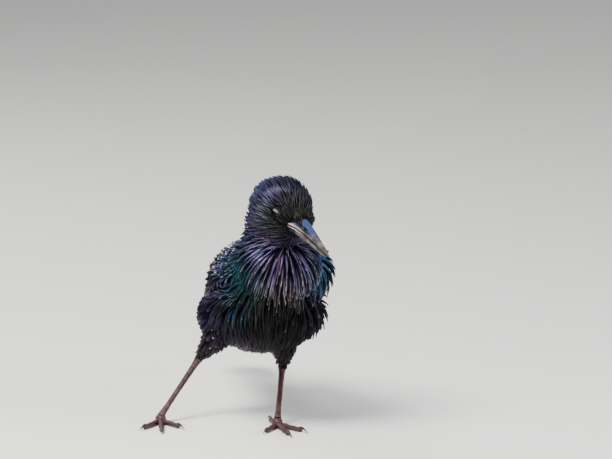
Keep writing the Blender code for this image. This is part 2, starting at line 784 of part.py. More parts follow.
def grow_ruff(neck, flesh, torso):
    generator = random.Random(SEED)
    tree = surface_tree(flesh)
    hub = placed(*RUFF_HUB)
    point, way = plane(NECK_CUT, 1)
    head_point, head_way = plane(HEAD_CUT, -1)
    plumes = []
    for spot, normal, share in ruff_roots(tree, hub, generator):
        below = (spot - point).dot(way) < RUFF_ABOVE_CUT * MM
        if below or (spot - head_point).dot(head_way) < RUFF_CLEAR * MM:
            continue
        plume = ruff_plume(tree, hub, (spot, normal), share, generator)
        plumes.append(boolean(plume, [swollen(torso, RUFF_CUT)], "DIFFERENCE"))
    print("plumes", len(plumes))
    return melt_flats(boolean(neck, plumes, "UNION"))


# Assembly


def centre_on_floor(nodes):
    """Moves every node so that the model stands on z = 0 with its box centred on the origin."""
    points = [vertex.co for node in nodes for vertex in node.data.vertices]
    low = [min(p[k] for p in points) for k in range(3)]
    high = [max(p[k] for p in points) for k in range(3)]
    shift = Vector((-(low[0] + high[0]) / 2, -(low[1] + high[1]) / 2, -low[2]))
    for node in nodes:
        node.data.transform(Matrix.Translation(shift))
    print("moved by", [round(v / MM, 3) for v in shift], "mm")


def gather(nodes):
    bird = bpy.data.collections.new("starling")
    bpy.context.scene.collection.children.link(bird)
    for node in nodes:
        for old in list(node.users_collection):
            old.objects.unlink(node)
        bird.objects.link(node)
        node.data.shade_smooth()
        node.data.set_sharp_from_angle(angle=math.radians(35))


def make_bird():
    flesh = make_flesh()
    head = half_of(flesh, "head", [plane(HEAD_CUT, 1)], "plumage")
    neck_cuts = [plane(HEAD_CUT, -1, GAP), plane(NECK_CUT, 1)]
    neck = half_of(flesh, "neck", neck_cuts, "throat")
    torso = half_of(flesh, "torso", [plane(NECK_CUT, -1, GAP)], "plumage")

    upper = make_bill("bill_upper", True)
    lower = make_bill("bill_lower", False)
    bare_head = swollen(head)
    lower_cut = swollen(head)
    boolean(upper, [bare_head], "DIFFERENCE")
    boolean(lower, [lower_cut], "DIFFERENCE")
    open_eyes(head)
    eyes = [make_eye(1, "eye_left"), make_eye(-1, "eye_right")]

    tail = make_tail(flesh)
    sides = ((1, "wing_left"), (-1, "wing_right"))
    wings = [make_wing(side, name, [flesh, tail]) for side, name in sides]
    legs = []
    for side, joints in LEGS.items():
        thigh = make_thigh(side, joints, flesh)
        shank = make_shank(side, joints, thigh)
        foot = make_foot(side, joints, shank)
        claws = [make_claw(side, toe, joints, foot) for toe in TOES]
        legs += [thigh, shank, foot, *claws]
    grow_ruff(neck, flesh, torso)
    discard([flesh])
    return [head, neck, torso, upper, lower, *eyes, *wings, tail, *legs]


clear_scene()
bird_nodes = make_bird()
centre_on_floor(bird_nodes)
gather(bird_nodes)
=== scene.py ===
import math
from itertools import product

import bpy
import numpy as np
from mathutils import Matrix, Vector, noise
from mathutils.bvhtree import BVHTree


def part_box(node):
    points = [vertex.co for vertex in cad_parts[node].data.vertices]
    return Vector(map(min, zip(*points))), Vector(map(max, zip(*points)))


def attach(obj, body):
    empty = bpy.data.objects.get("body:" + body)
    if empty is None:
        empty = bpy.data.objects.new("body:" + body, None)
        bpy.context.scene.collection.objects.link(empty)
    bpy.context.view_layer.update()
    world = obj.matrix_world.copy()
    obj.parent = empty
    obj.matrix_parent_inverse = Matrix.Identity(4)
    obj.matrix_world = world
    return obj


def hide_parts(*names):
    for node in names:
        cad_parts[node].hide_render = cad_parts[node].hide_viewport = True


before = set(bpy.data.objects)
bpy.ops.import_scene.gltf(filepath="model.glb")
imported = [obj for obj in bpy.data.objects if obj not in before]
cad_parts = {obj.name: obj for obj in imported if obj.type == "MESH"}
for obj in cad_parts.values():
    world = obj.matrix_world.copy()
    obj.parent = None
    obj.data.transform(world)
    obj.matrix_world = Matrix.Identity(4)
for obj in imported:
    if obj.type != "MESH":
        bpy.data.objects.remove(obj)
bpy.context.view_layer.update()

# The bird faces -Y with +X on its left. Sizes are in millimetres until a mesh is made.
mm = 0.001
bothHands = ((1, "left"), (-1, "right"))
upward = Vector((0, 0, 1))
draws = np.random.default_rng(23)

carriage = {
    "bodyCentre": (0, 8, 54), "bodyPitch": 14, "bodyRoll": -4,
    "headCentre": (3.1, -28, 94.2), "headYaw": 21, "headPitch": 19, "headRoll": 18,
    "tailRoot": (0, 43, -0.5), "tailDroop": 2, "tailSway": 4,
}


def turned(axis, degrees):
    return Matrix.Rotation(math.radians(degrees), 4, axis)


def moved(place):
    return Matrix.Translation(place)


floorFrame = Matrix.Identity(4)
bodyFrame = (moved(carriage["bodyCentre"]) @ turned("Y", -carriage["bodyRoll"])
             @ turned("X", -carriage["bodyPitch"]))
headFrame = (moved(carriage["headCentre"]) @ turned("Z", carriage["headYaw"])
             @ turned("X", carriage["headPitch"]) @ turned("Y", carriage["headRoll"]))
tailFrame = (bodyFrame @ moved(carriage["tailRoot"]) @ turned("Z", -carriage["tailSway"])
             @ turned("X", -carriage["tailDroop"]))
frames = {"floor": floorFrame, "body": bodyFrame, "head": headFrame, "tail": tailFrame}

eye = {
    "centre": (6.5, -6.6, 1.1), "radius": 3.1,
    "lidRadius": 3.22, "lidThick": 0.4, "socket": 3.6, "bareLid": (2.6, 1.5),
    "upperLid": 11, "lowerLid": -24, "cornerTilt": 2,
    "paleLid": (0.6, 1.6), "gaze": (1, -0.3, -0.05), "cornea": 0.16, "pupil": 24, "iris": 47,
}
eyeLow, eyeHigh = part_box("eye_left")
origin = (eyeLow + eyeHigh) / 2 - (headFrame @ Vector(eye["centre"])) * mm
toRow = Matrix.Translation(origin) @ Matrix.Scale(mm, 4)
print("origin of the modelling frame", [round(v / mm, 2) for v in origin])


# Working with objects


def startFresh():
    if bpy.context.object and bpy.context.object.mode != "OBJECT":
        bpy.ops.object.mode_set(mode="OBJECT")
    bpy.ops.object.select_all(action="DESELECT")


def pick(*things):
    startFresh()
    for thing in things:
        thing.select_set(True)
    bpy.context.view_layer.objects.active = things[0]
    return things[0]


def settle(thing, matrix):
    thing.data.transform(matrix)
    thing.matrix_world = Matrix.Identity(4)
    return thing


def applyModifiers(thing):
    pick(thing)
    for step in list(thing.modifiers):
        bpy.ops.object.modifier_apply(modifier=step.name)
    return thing


def joined(things):
    pick(*things)
    bpy.ops.object.join()
    return bpy.context.object


def editing(thing):
    pick(thing)
    bpy.ops.object.mode_set(mode="EDIT")
    bpy.ops.mesh.select_all(action="SELECT")


def doneEditing():
    bpy.ops.mesh.select_all(action="SELECT")
    bpy.ops.mesh.normals_make_consistent(inside=False)
    bpy.ops.object.mode_set(mode="OBJECT")


def facedOut(thing):
    editing(thing)
    doneEditing()
    return thing


def inOrder(thing):
    # operators leave vertices and faces in another order each run, so both are sorted by their place
    mesh = thing.data
    spots = [tuple(v.co) for v in mesh.vertices]
    order = sorted(range(len(spots)), key=spots.__getitem__)
    rank = {old: new for new, old in enumerate(order)}
    faces = []
    for face in mesh.polygons:
        corners = [rank[v] for v in face.vertices]
        start = corners.index(min(corners))
        faces.append(corners[start:] + corners[:start])
    mesh.clear_geometry()
    mesh.from_pydata([spots[k] for k in order], [], sorted(faces))
    return thing


def newest(name):
    # the object that the last operator made
    made = bpy.context.object
    made.name = name
    return made


def ball(name, place, radii, inFrame=floorFrame, cuts=4):
    startFresh()
    bpy.ops.mesh.primitive_ico_sphere_add(subdivisions=cuts, radius=1)
    return settle(newest(name), toRow @ inFrame @ moved(place) @ Matrix.Diagonal((*radii, 1)))


def drawnTube(name, rings, place=toRow):
    # a disc is extruded once for each station, then every ring is drawn to its place
    sides = len(rings[0])
    startFresh()
    bpy.ops.mesh.primitive_circle_add(vertices=sides, radius=1, fill_type="NGON")
    made = newest(name)
    made.data.name = name
    editing(made)
    for _ in rings[1:]:
        bpy.ops.mesh.extrude_region_move(TRANSFORM_OT_translate={"value": (0, 0, 1)})
    bpy.ops.object.mode_set(mode="OBJECT")
    first = made.data.vertices[0].co
    startAngle = math.atan2(first.y, first.x)
    for vertex in made.data.vertices:
        ring = round(vertex.co.z)
        angle = math.atan2(vertex.co.y, vertex.co.x) - startAngle
        step = round(angle * sides / math.tau) % sides
        vertex.co = place @ Vector(rings[ring][step])
    return inOrder(facedOut(made))


def stepsRound(count):
    # the turn of each point of a ring
    return [math.tau * k / count for k in range(count)]


def cutAway(thing, cutters):
    for cutter in cutters:
        step = thing.modifiers.new("cut", "BOOLEAN")
        step.operation = "DIFFERENCE"
        step.solver = "EXACT"
        step.object = cutter
        applyModifiers(thing)
        bpy.data.objects.remove(cutter)
    return thing


def smoothed(thing, angle=50):
    pick(thing)
    bpy.ops.object.shade_smooth_by_angle(angle=math.radians(angle))
    return thing


def finished(thing, finish, replaced=()):
    thing.data.materials.clear()
    thing.data.materials.append(finish)
    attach(thing, "root")
    if replaced:
        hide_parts(*replaced)
    return thing


def blendOf(pair, share):
    return pair[0] + (pair[1] - pair[0]) * share


def rise(low, high, value):
    # smooth step from 0 to 1 between two bounds, on arrays or numbers
    share = np.clip((value - low) / (high - low), 0, 1)
    return share * share * (3 - 2 * share)


def bell(value, middle, reach):
    return math.exp(-((value - middle) / reach) ** 2)


def asArray(vectors):
    return np.array([tuple(v) for v in vectors], float)


def unit(rows):
    return rows / np.maximum(np.linalg.norm(rows, axis=-1, keepdims=True), 1e-9)


def through(matrix, rows):
    # rows of points carried by a matrix
    matrix = np.array(matrix)
    return rows @ matrix[:3, :3].T + matrix[:3, 3]


# Materials


class Wire:
    # one output of a node, with arithmetic that adds Math nodes

    def __init__(self, finish, socket):
        self.finish = finish
        self.socket = socket

    def sum(self, operation, *inputs):
        sockets = dict(enumerate(inputs))
        return self.finish.node("ShaderNodeMath", {"operation": operation}, sockets)

    def __add__(self, other):
        return self.sum("ADD", self, other)

    def __radd__(self, other):
        return self.sum("ADD", other, self)

    def __sub__(self, other):
        return self.sum("SUBTRACT", self, other)

    def __rsub__(self, other):
        return self.sum("SUBTRACT", other, self)

    def __mul__(self, other):
        return self.sum("MULTIPLY", self, other)

    def __rmul__(self, other):
        return self.sum("MULTIPLY", other, self)

    def __truediv__(self, other):
        return self.sum("DIVIDE", self, other)

    def __rtruediv__(self, other):
        return self.sum("DIVIDE", other, self)

    def __abs__(self):
        return self.sum("ABSOLUTE", self)

    def wave(self):
        return self.sum("SINE", self)

    def step(self, low, high):
        settings = {"interpolation_type": "SMOOTHSTEP"}
        inputs = {"Value": self, "From Min": low, "From Max": high}
        return self.finish.node("ShaderNodeMapRange", settings, inputs)

    def between(self, low, high):
        inputs = {"Value": self, "To Min": low, "To Max": high}
        return self.finish.node("ShaderNodeMapRange", {}, inputs)


class Finish:
    # one material, whose nodes all come from node()

    def __init__(self, name, **fixed):
        self.material = bpy.data.materials.new(name)
        self.material.use_nodes = True
        self.tree = self.material.node_tree
        self.shader = self.tree.nodes["Principled BSDF"]
        self.set(**fixed)

    def set(self, **values):
        for name, value in values.items():
            self.feed(self.shader.inputs[name.replace("_", " ")], value)
        return self

    def feed(self, socket, value):
        if isinstance(value, Wire):
            self.tree.links.new(value.socket, socket)
        elif hasattr(value, "__len__") and len(value) == 3 and socket.type == "RGBA":
            socket.default_value = (*value, 1)
        else:
            socket.default_value = value

    def node(self, kind, settings, inputs, output=0):
        made = self.tree.nodes.new(kind)
        for name, value in settings.items():
            if name == "stops":
                self.fillRamp(made.color_ramp, value)
            else:
                setattr(made, name, value)
        for name, value in inputs.items():
            self.feed(made.inputs[name], value)
        return Wire(self, made.outputs[output])

    def fillRamp(self, ramp, stops):
        while len(ramp.elements) < len(stops):
            ramp.elements.new(0.5)
        for element, (position, colour) in zip(ramp.elements, stops):
            element.position = position
            element.color = (*colour, 1)

    def attribute(self, name, output="Vector"):
        return self.node("ShaderNodeAttribute", {"attribute_name": name}, {}, output)

    def parts(self, vector):
        return [self.node("ShaderNodeSeparateXYZ", {}, {0: vector}, k) for k in range(3)]

    def place(self):
        return self.node("ShaderNodeTexCoord", {}, {}, "Object")

    def stretched(self, vector, scale):
        settings = {"operation": "MULTIPLY"}
        return self.node("ShaderNodeVectorMath", settings, {0: vector, 1: scale})

    def noise(self, vector, scale, detail=3, roughness=0.5):
        inputs = {"Vector": vector, "Scale": scale, "Detail": detail, "Roughness": roughness}
        return self.node("ShaderNodeTexNoise", {}, inputs)

    def ramp(self, value, stops):
        return self.node("ShaderNodeValToRGB", {"stops": stops}, {0: value})

    def mixed(self, first, second, share, how="MIX"):
        settings = {"data_type": "RGBA", "blend_type": how}
        return self.node("ShaderNodeMix", settings, {0: share, 6: first, 7: second}, 2)

    def bump(self, height, strength, distance):
        inputs = {"Height": height, "Strength": strength, "Distance": distance}
        return self.node("ShaderNodeBump", {}, inputs)


def makePlumage(name, barbs, fringe=None, roughness=0.38, edgeShade=0.8):
    # feathers read their own attributes: vane (along, across, chance), tone, tipTone and trim (share of the
    # painted shaft highlight, tip start, gloss)
    made = Finish(name, IOR=1.15, Specular_Tint=(0.5, 0.46, 0.58))
    along, across, chance = made.parts(made.attribute("vane"))
    shaftHighlightShare, tipStart, gloss = made.parts(made.attribute("trim"))
    out = abs(across)
    ragged = made.noise(made.place(), 1400, 2)
    tone = made.attribute("tone", "Color")
    tipTone = made.attribute("tipTone", "Color")
    tip = (along + (ragged - 0.5) * 0.16 - out * 0.05 - tipStart).step(-0.06, 0.1)
    colour = made.mixed(tone, tipTone, tip)
    if fringe:
        rim = (out + (ragged - 0.5) * 0.2).step(fringe["start"], 1.0) * fringe["share"]
        colour = made.mixed(colour, fringe["colour"], rim)
    else:
        rim = tip * 0
    # a pale streak of the tip tone along the shaft: a painted highlight
    shaftHighlight = (1 - out.step(0.05, 0.5)) * shaftHighlightShare * along.step(0.25, 0.7)
    colour = made.mixed(colour, tipTone, shaftHighlight * 0.85)
    strokes = (along * barbs + out * barbs * 0.45 + chance * 40).wave()
    # painted shade: the vane darkens towards its root, where the feathers overlap, and towards its edges;
    # the barb strokes are the vane's own pattern
    shade = (along.step(0.0, 0.5) * 0.7 + 0.3) * (strokes * 0.12 + 0.9)
    shade = shade * (1 - out.step(0.3, 1.0) * edgeShade)
    dark = made.mixed(colour, (0, 0, 0), 1 - shade)
    lift = (1 - out) * 0.6 + strokes * 0.22 + ragged * 0.2
    made.set(
        Base_Color=dark,
        Metallic=gloss * (1 - tip * 0.75) * (1 - rim),
        Roughness=ragged.between(roughness - 0.06, roughness + 0.14),
        Normal=made.bump(lift, 0.35, 0.00012),
    )
    return made.material


plumageFinish = makePlumage("plumage", 70, roughness=0.3)
wingFinish = makePlumage(
    "wingFeathers", 260, {"start": 0.84, "share": 0.6, "colour": (0.09, 0.058, 0.034)}, 0.42, 0.1)


def makeSkinFinish():
    made = Finish("skinUnderCoat", Roughness=0.9, Specular_IOR_Level=0.03)
    fine = made.noise(made.place(), 900, 4)
    made.set(Base_Color=made.ramp(fine, [(0.3, (0.002, 0.002, 0.0024)), (0.7, (0.006, 0.005, 0.006))]),
             Normal=made.bump(fine, 0.6, 0.0004))
    return made.material


skinFinish = makeSkinFinish()
print("materials ready")


# Folded wings, laid on a spindle round the body's axis

wing = {
    "middle": -3, "offset": 1.2, "radius": 21.5,
    "front": (60, 60, 2.6), "rear": (118, 99, 1.5),
    # count, then first and last of: root along, root angle, tip along, tip angle, width, lift;
    # tone, tip tone, tip start, gloss
    "tiers": {
        "primaries": ((8, (4, 6), (-2, 16), (93, 62), (25, 14), (6.0, 6.4), (0.2, 0.5)),
                      ((0.012, 0.010, 0.009), (0.16, 0.1, 0.06), 0.93, 0.3)),
        "secondaries": ((8, (2, 2), (8, 42), (58, 50), (9, 46), (6.6, 7.0), (0.75, 0.85)),
                        ((0.010, 0.010, 0.012), (0.2, 0.13, 0.08), 0.95, 0.35)),
        "tertials": ((4, (8, 5), (44, 70), (55, 36), (51, 73), (8.4, 8.0), (1.2, 1.45)),
                     ((0.010, 0.012, 0.014), (0.2, 0.13, 0.08), 0.95, 0.4)),
        "greaterCoverts": ((12, (-7, -2), (3, 68), (15, 12), (6, 64), (5.4, 5.6), (1.5, 1.8)),
                           ((0.008, 0.012, 0.016), (0.26, 0.18, 0.11), 0.93, 0.5)),
    },
    "stations": 13, "across": 7, "thick": 0.22, "shingle": 0.11, "rootSink": 1.5, "lively": 0.7,
    "crown": 0.16, "armStations": 15, "armReach": (-28, 42), "armAngles": (1, 66), "armDepth": 9,
    "armLifts": ((-28, -22, -14, 2, 12, 20), (-4.5, -0.5, 1.2, 1.9, 0.2, -0.9)),
}


def spindle(along, angle, lift, side):
    # a point over the flank: along the back, round the body and off the spindle
    ahead = along - wing["middle"]
    *lengths, fullness = wing["rear"] if ahead > 0 else wing["front"]
    wide, tall = (
        wing["radius"] * max(0.02, 1 - (abs(ahead) / length) ** fullness) + lift for length in lengths
    )
    turn = math.radians(angle)
    return Vector((wing["offset"] + side * wide * math.cos(turn), along, tall * math.sin(turn)))


def makeArm(side):
    # the folded arm under the coverts, as part of the flesh
    rings = []
    low, high = wing["armAngles"]
    middle = (low + high) / 2
    for i in range(wing["armStations"]):
        share = i / (wing["armStations"] - 1)
        along = blendOf(wing["armReach"], share)
        closing = 0.35 + 0.65 * math.sin(math.pi * min(1.0, 0.12 + 0.8 * share))
        half = (high - low) / 2 * closing
        lift = float(np.interp(along, *wing["armLifts"]))
        depth = min(wing["armDepth"], 6 + 20 * (1 - share)) / 2
        outer = [spindle(along, middle + half * k, lift - 0.5 * abs(k) ** 3, side)
                 for k in (-1, -0.5, 0, 0.5, 1)]
        inner = [spindle(along, middle + half * 0.27 * k, lift - depth, side) for k in (3, 0, -3)]
        rings.append(outer + inner)
    return drawnTube("arm", rings, toRow @ bodyFrame)


# Skin: the flesh under the coat, melted from rounded masses

flesh = {
    "masses": {
        "barrel": ("body", (0.3, 0, 0), (19.5, 39, 20.5)),
        "mantle": ("body", (0.7, -7, 7.5), (17.5, 29, 15)),
        "flanks": ("body", (0.3, -1, -8), (24, 31, 15.5)),
        "flankRight": ("body", (-16, 4, -9), (9, 17, 10.5)),
        "flankLeft": ("body", (15.5, 4, -8), (9, 17, 10.5)),
        "wristLeft": ("body", (13, -20, 9), (10.5, 13, 10)),
        "rump": ("body", (0, 29, 1.5), (12.5, 25, 11)),
        "vent": ("body", (0, 28, -6.5), (13, 24, 9.5)),
        "shoulders": ("floor", (2.5, -13, 70), (18, 15, 14)),
        "throatBase": ("floor", (2.5, -21, 72), (16, 15, 16)),
        "neck": ("floor", (2.2, -18.5, 79), (14.2, 14.5, 14)),
        "nape": ("head", (1.6, 5, -5.5), (10.6, 10, 11.5)),
        "crown": ("head", (0.3, 4, 1), (11.6, 10.8, 11)),
        "skull": ("head", (0, 1.5, 0), (12.4, 12.2, 12.6)),
        "face": ("head", (0, -6.5, -1), (6.2, 8.5, 6.8)),
        "chin": ("head", (0, -4.5, -6), (6.4, 8.6, 5.8)),
        "orbitLeft": ("head", (5, -5.9, 0.7), (4.8, 6.6, 5.6)),
        "orbitRight": ("head", (-5, -5.9, 0.7), (4.8, 6.6, 5.6)),
        "nasal": ("head", (0, -11.6, 2.6), (4.2, 5.4, 2.7)),
    },
    "plump": 0.6, "bodyDepth": 1.7, "headDepth": 0.9, "thighDepth": 0.9,
    "voxel": 0.62, "passes": 12,
    "thighs": {
        "Right": ((-14, -2, 46), (-23.7, 19.7, 25.8)),
        "Left": ((8.5, -2, 44), (10.6, 17.8, 21.6)),
    },
    "thighRadii": ((0, 7), (0.2, 6.8), (0.35, 6.4), (0.5, 5.6), (0.62, 4.8), (0.72, 4.1),
                   (0.82, 3.3), (0.9, 2.8), (0.97, 2.3)),
    "tailStump": (("tail", (0, -2, -0.8), (8, 14, 4)), ("tail", (0, 8, -1), (6, 12, 2.6))),
}


def eyeCentre(side):
    x, y, z = eye["centre"]
    return side * x, y, z


def makeSkin():
    lumps = []
    for name, (place, centre, radii) in flesh["masses"].items():
        depth = flesh["headDepth"] if place == "head" else flesh["bodyDepth"]
        size = [radius + flesh["plump"] - depth for radius in radii]
        lumps.append(ball(name, centre, size, frames[place]))
    for knee, ankle in flesh["thighs"].values():
        for share, radius in flesh["thighRadii"]:
            here = Vector(knee).lerp(Vector(ankle), share)
            lumps.append(ball("thigh", here, [radius - flesh["thighDepth"]] * 3, cuts=3))
    for place, centre, radii in flesh["tailStump"]:
        lumps.append(ball("stump", centre, radii, frames[place]))
    lumps += [makeArm(side) for side in (1, -1)]
    skin = joined(lumps)
    skin.name = "skin"
    melt = skin.modifiers.new("melt", "REMESH")
    melt.mode = "VOXEL"
    melt.voxel_size = flesh["voxel"] * mm
    soften = skin.modifiers.new("soften", "SMOOTH")
    soften.factor = 0.6
    soften.iterations = flesh["passes"]
    applyModifiers(skin)
    sockets = [ball("socket", eyeCentre(side), [eye["socket"]] * 3, headFrame, 3) for side in (1, -1)]
    return smoothed(cutAway(skin, sockets), 60)


skin = makeSkin()
print("skin", len(skin.data.polygons), "faces")


# Eyes and lids


def makeEyeFinish():
    made = Finish("eyeball", Roughness=0.08, IOR=1.38, Coat_Weight=0.15, Coat_Roughness=0.02,
                  Specular_IOR_Level=0.15)
    gaze = made.attribute("gaze", "Fac")
    streaks = made.noise(made.place(), 2600, 3)
    look = gaze + (streaks - 0.5) * 3
    colour = made.ramp(look / 90, [
        (0.0, (0.001, 0.001, 0.001)), (eye["pupil"] / 90, (0.001, 0.001, 0.001)),
        (eye["pupil"] / 90 + 0.03, (0.009, 0.005, 0.003)), (eye["iris"] / 90 - 0.06, (0.014, 0.008, 0.005)),
        (eye["iris"] / 90, (0.004, 0.003, 0.002)), (1.0, (0.006, 0.004, 0.004)),
    ])
    made.set(Base_Color=colour)
    return made.material


def makeLidFinish(name, skinTone, rimTone):
    made = Finish(name, IOR=1.45, Specular_IOR_Level=0.15)
    rim = made.attribute("rim", "Fac")
    folds = made.noise(made.stretched(made.place(), (1, 1, 2.4)), 2100, 4, 0.6)
    colour = made.mixed(skinTone, rimTone, rim.step(0.0, 0.85))
    # the creases between the folds are darkened: painted shade
    made.set(Base_Color=made.mixed(colour, (0.004, 0.003, 0.003), (1 - folds.step(0.3, 0.6)) * 0.6),
             Roughness=folds.between(0.35, 0.6),
             Normal=made.bump(folds, 0.8, 0.00025))
    return made.material


eyeFinish = makeEyeFinish()
lidFinishes = {
    True: makeLidFinish("upperLid", (0.006, 0.005, 0.005), (0.17, 0.145, 0.14)),
    False: makeLidFinish("lowerLid", (0.005, 0.0045, 0.0045), (0.016, 0.013, 0.012)),
}


def eyeFrameOf(side):
    # X looks out of the head, Y runs to the back corner
    x, y, z = eye["gaze"]
    out = Vector((side * x, y, z)).normalized()
    tilt = math.radians(eye["cornerTilt"])
    back = Vector((0, math.cos(tilt), math.sin(tilt)))
    back = (back - out * back.dot(out)).normalized()
    up = out.cross(back) * side
    turn = Matrix((out, back, up)).transposed().to_4x4()
    return headFrame @ moved(eyeCentre(side)) @ turn


def addNumbers(thing, name, values):
    layer = thing.data.attributes.new(name, "FLOAT", "POINT")
    layer.data.foreach_set("value", np.asarray(values, np.float32))


def makeEyeball(side, name, node):
    startFresh()
    bpy.ops.mesh.primitive_uv_sphere_add(segments=48, ring_count=32, radius=1)
    made = inOrder(settle(newest(name), turned("Y", 90)))
    angles = []
    for vertex in made.data.vertices:
        angle = math.degrees(math.acos(max(-1, min(1, vertex.co.x / vertex.co.length))))
        bulge = eye["cornea"] * (1 - rise(eye["iris"] * 0.5, eye["iris"] + 10, angle))
        vertex.co *= eye["radius"] - 0.12 + bulge * 0.5
        angles.append(angle)
    addNumbers(made, "gaze", angles)
    smoothed(settle(made, toRow @ eyeFrameOf(side)), 80)
    return finished(made, eyeFinish, [node])


def makeLid(side, name, upper):
    # a ball cut back to the almond slit, then given thickness and a rolled rim
    startFresh()
    bpy.ops.mesh.primitive_uv_sphere_add(segments=64, ring_count=40, radius=eye["lidRadius"])
    made = inOrder(settle(newest(name), turned("X", 90)))
    opening = eye["upperLid"] if upper else eye["lowerLid"]
    edge = math.radians(opening)
    way = (-math.sin(edge), 0, math.cos(edge)) if upper else (math.sin(edge), 0, -math.cos(edge))
    editing(made)
    bpy.ops.mesh.bisect(plane_co=(0, 0, 0), plane_no=way, clear_inner=True)
    bpy.ops.mesh.select_all(action="SELECT")
    bpy.ops.mesh.bisect(plane_co=(-0.3, 0, 0), plane_no=(1, 0, 0), clear_inner=True)
    doneEditing()
    wall = made.modifiers.new("wall", "SOLIDIFY")
    wall.thickness = eye["lidThick"]
    wall.offset = 1
    rim = made.modifiers.new("rim", "BEVEL")
    rim.width = eye["lidThick"] * 0.42
    rim.segments = 3
    rim.angle_limit = math.radians(50)
    inOrder(facedOut(applyModifiers(made)))
    rims = []
    for vertex in made.data.vertices:
        p = vertex.co
        away = abs(math.degrees(math.atan2(p.z, max(p.x, 1e-6))) - opening)
        rims.append(bell(away, 0, 20) * bell(p.y, *eye["paleLid"]))
        fold = math.sin(away * 0.42) * bell(away, 16, 22)
        vertex.co = p * (1 + 0.022 * fold + 0.03 * bell(away, 0, 7))
    addNumbers(made, "rim", rims)
    smoothed(settle(made, toRow @ eyeFrameOf(side)), 60)
    return finished(made, lidFinishes[upper])


lids = {}
for side, word in bothHands:
    makeEyeball(side, f"eyeball_{word}", f"eye_{word}")
    lids[word] = [makeLid(side, f"lid_upper_{word}", True), makeLid(side, f"lid_lower_{word}", False)]
print("eyes and lids ready")


# Bill

bill = {
    # distance forward, half-width, mouth line, culmen, gonys
    "rows": (
        (5.0, 4.4, -1.7, 1.2, -2.7), (6.5, 4.8, -1.7, 1.5, -3.0), (8.8, 4.9, -1.4, 2.7, -3.3),
        (11.5, 4.2, -1.0, 4.0, -3.4), (14.5, 3.2, -0.6, 4.4, -3.1), (19, 2.4, -0.35, 3.9, -2.7),
        (25, 1.85, -0.3, 2.75, -2.3), (31, 1.35, -0.45, 1.5, -2.0), (35.5, 0.85, -0.7, 0.55, -1.75),
        (37.3, 0.5, -0.85, 0.0, -1.5), (37.9, 0.2, -0.95, -0.5, -1.25),
    ),
    "stations": 44, "across": 20, "parting": 0.42, "arch": 0.85,
    "hinge": (0, -9, -1.5), "gape": 1.2, "lowerShorter": 0.965,
    "nostril": (2.1, 19.2, 1.7), "nostrilReach": (1.25, 0.42), "nostrilDepth": 0.6,
    "sideCoat": (14.6, 3.9, 1.6, 0.3), "chinCoat": (16.5, 0.42), "gapeLine": (9.2, 15.5, 0.5, 3.2),
    "ridge": 0.32, "ridgeEnd": 24, "groove": 0.22, "flange": 0.46, "flangeReach": (9.0, 15.5),
}


billTable = np.array(bill["rows"])
billEnds = bill["rows"][0][0], bill["rows"][-1][0]


def billRow(forward):
    # half-width, mouth line, culmen and gonys, at one distance forward or at many
    return [np.interp(forward, billTable[:, 0], billTable[:, k]) for k in range(1, 5)]


def softBillRow(forward):
    # the rows' straight runs are rounded by an average over nearby places
    reach = 1.1 if 6 < forward < 36.5 else 0.15
    spots = [billRow(forward + reach * k / 3) for k in (-3, -2, -1, 0, 1, 2, 3)]
    weights = (1, 3, 5, 6, 5, 3, 1)
    return [sum(w * s[k] for w, s in zip(weights, spots)) / sum(weights) for k in range(4)]


def billPoint(forward, turn, upper):
    halfWidth, mouth, culmen, gonys = softBillRow(forward)
    flat = mouth + bill["parting"] / 2 * (1 if upper else -1)
    height = (culmen if upper else gonys) - flat
    across = halfWidth * math.cos(turn)
    up = height * max(math.sin(turn), 0) ** bill["arch"]
    return [across, -forward, flat + up]


def makeBillFinish(name, dark, light):
    made = Finish(name, IOR=1.3)
    along, up, edge = made.parts(made.attribute("horn"))
    place = made.place()
    grain = made.noise(made.stretched(made.attribute("horn"), (1.2, 2.4, 1)), 9, 5, 0.65)
    mottle = made.noise(place, 420, 4, 0.6)
    # the upper bill turns from dark steel to light steel-blue towards the culmen: a painted reflection of
    # the sky; the lower bill turns lighter towards its lower edge by the same blend
    steelAndSheen = made.mixed(dark, light, (up + (mottle - 0.5) * 0.7).step(0.2, 0.8))
    horn = made.mixed((0.04, 0.035, 0.042), (0.15, 0.128, 0.112), mottle.step(0.35, 0.7))
    body = made.mixed(steelAndSheen, horn, (along + (mottle - 0.5) * 0.3 - up * 0.12).step(0.4, 0.62))
    # a pale line along the ridge by the mouth: a painted highlight
    mouthEdgeHighlight = made.mixed((0.44, 0.38, 0.42), (0.3, 0.24, 0.18), along.step(0.1, 0.75))
    colour = made.mixed(body, mouthEdgeHighlight, edge.step(0.0, 1.0) * 0.9)
    # the nostril pit, marked by a negative edge value, is painted black: painted shade in the recess
    colour = made.mixed(colour, (0.001, 0.001, 0.001), (edge * -1).step(0.05, 0.5))
    colour = made.mixed(colour, (0.008, 0.008, 0.011), grain.step(0.5, 0.64) * 0.75)
    tip = along.step(0.93, 1.0)
    made.set(Base_Color=made.mixed(colour, (0.05, 0.042, 0.045), tip * 0.7),
             Roughness=grain.between(0.26, 0.5),
             Normal=made.bump(grain + mottle * 0.5, 0.45, 0.00016))
    return made.material


billFinishes = {
    True: makeBillFinish("upperHorn", (0.006, 0.008, 0.016), (0.028, 0.044, 0.12)),
    False: makeBillFinish("lowerHorn", (0.03, 0.026, 0.034), (0.09, 0.08, 0.09)),
}


def makeBill(name, upper):
    stations, across = bill["stations"], bill["across"]
    rings = []
    for i in range(stations):
        share = i / (stations - 1)
        forward = blendOf(billEnds, 1 - (1 - share) ** 1.25)
        arch = [billPoint(forward, math.pi * k / across, upper) for k in range(across + 1)]
        flat = [blendOf((np.array(arch[-1]), np.array(arch[0])), k / 6) for k in range(1, 6)]
        rings.append(arch + [list(p) for p in flat])
    made = drawnTube(name, rings, floorFrame)
    finer = made.modifiers.new("finer", "SUBSURF")
    finer.levels = finer.render_levels = 1
    return applyModifiers(made)


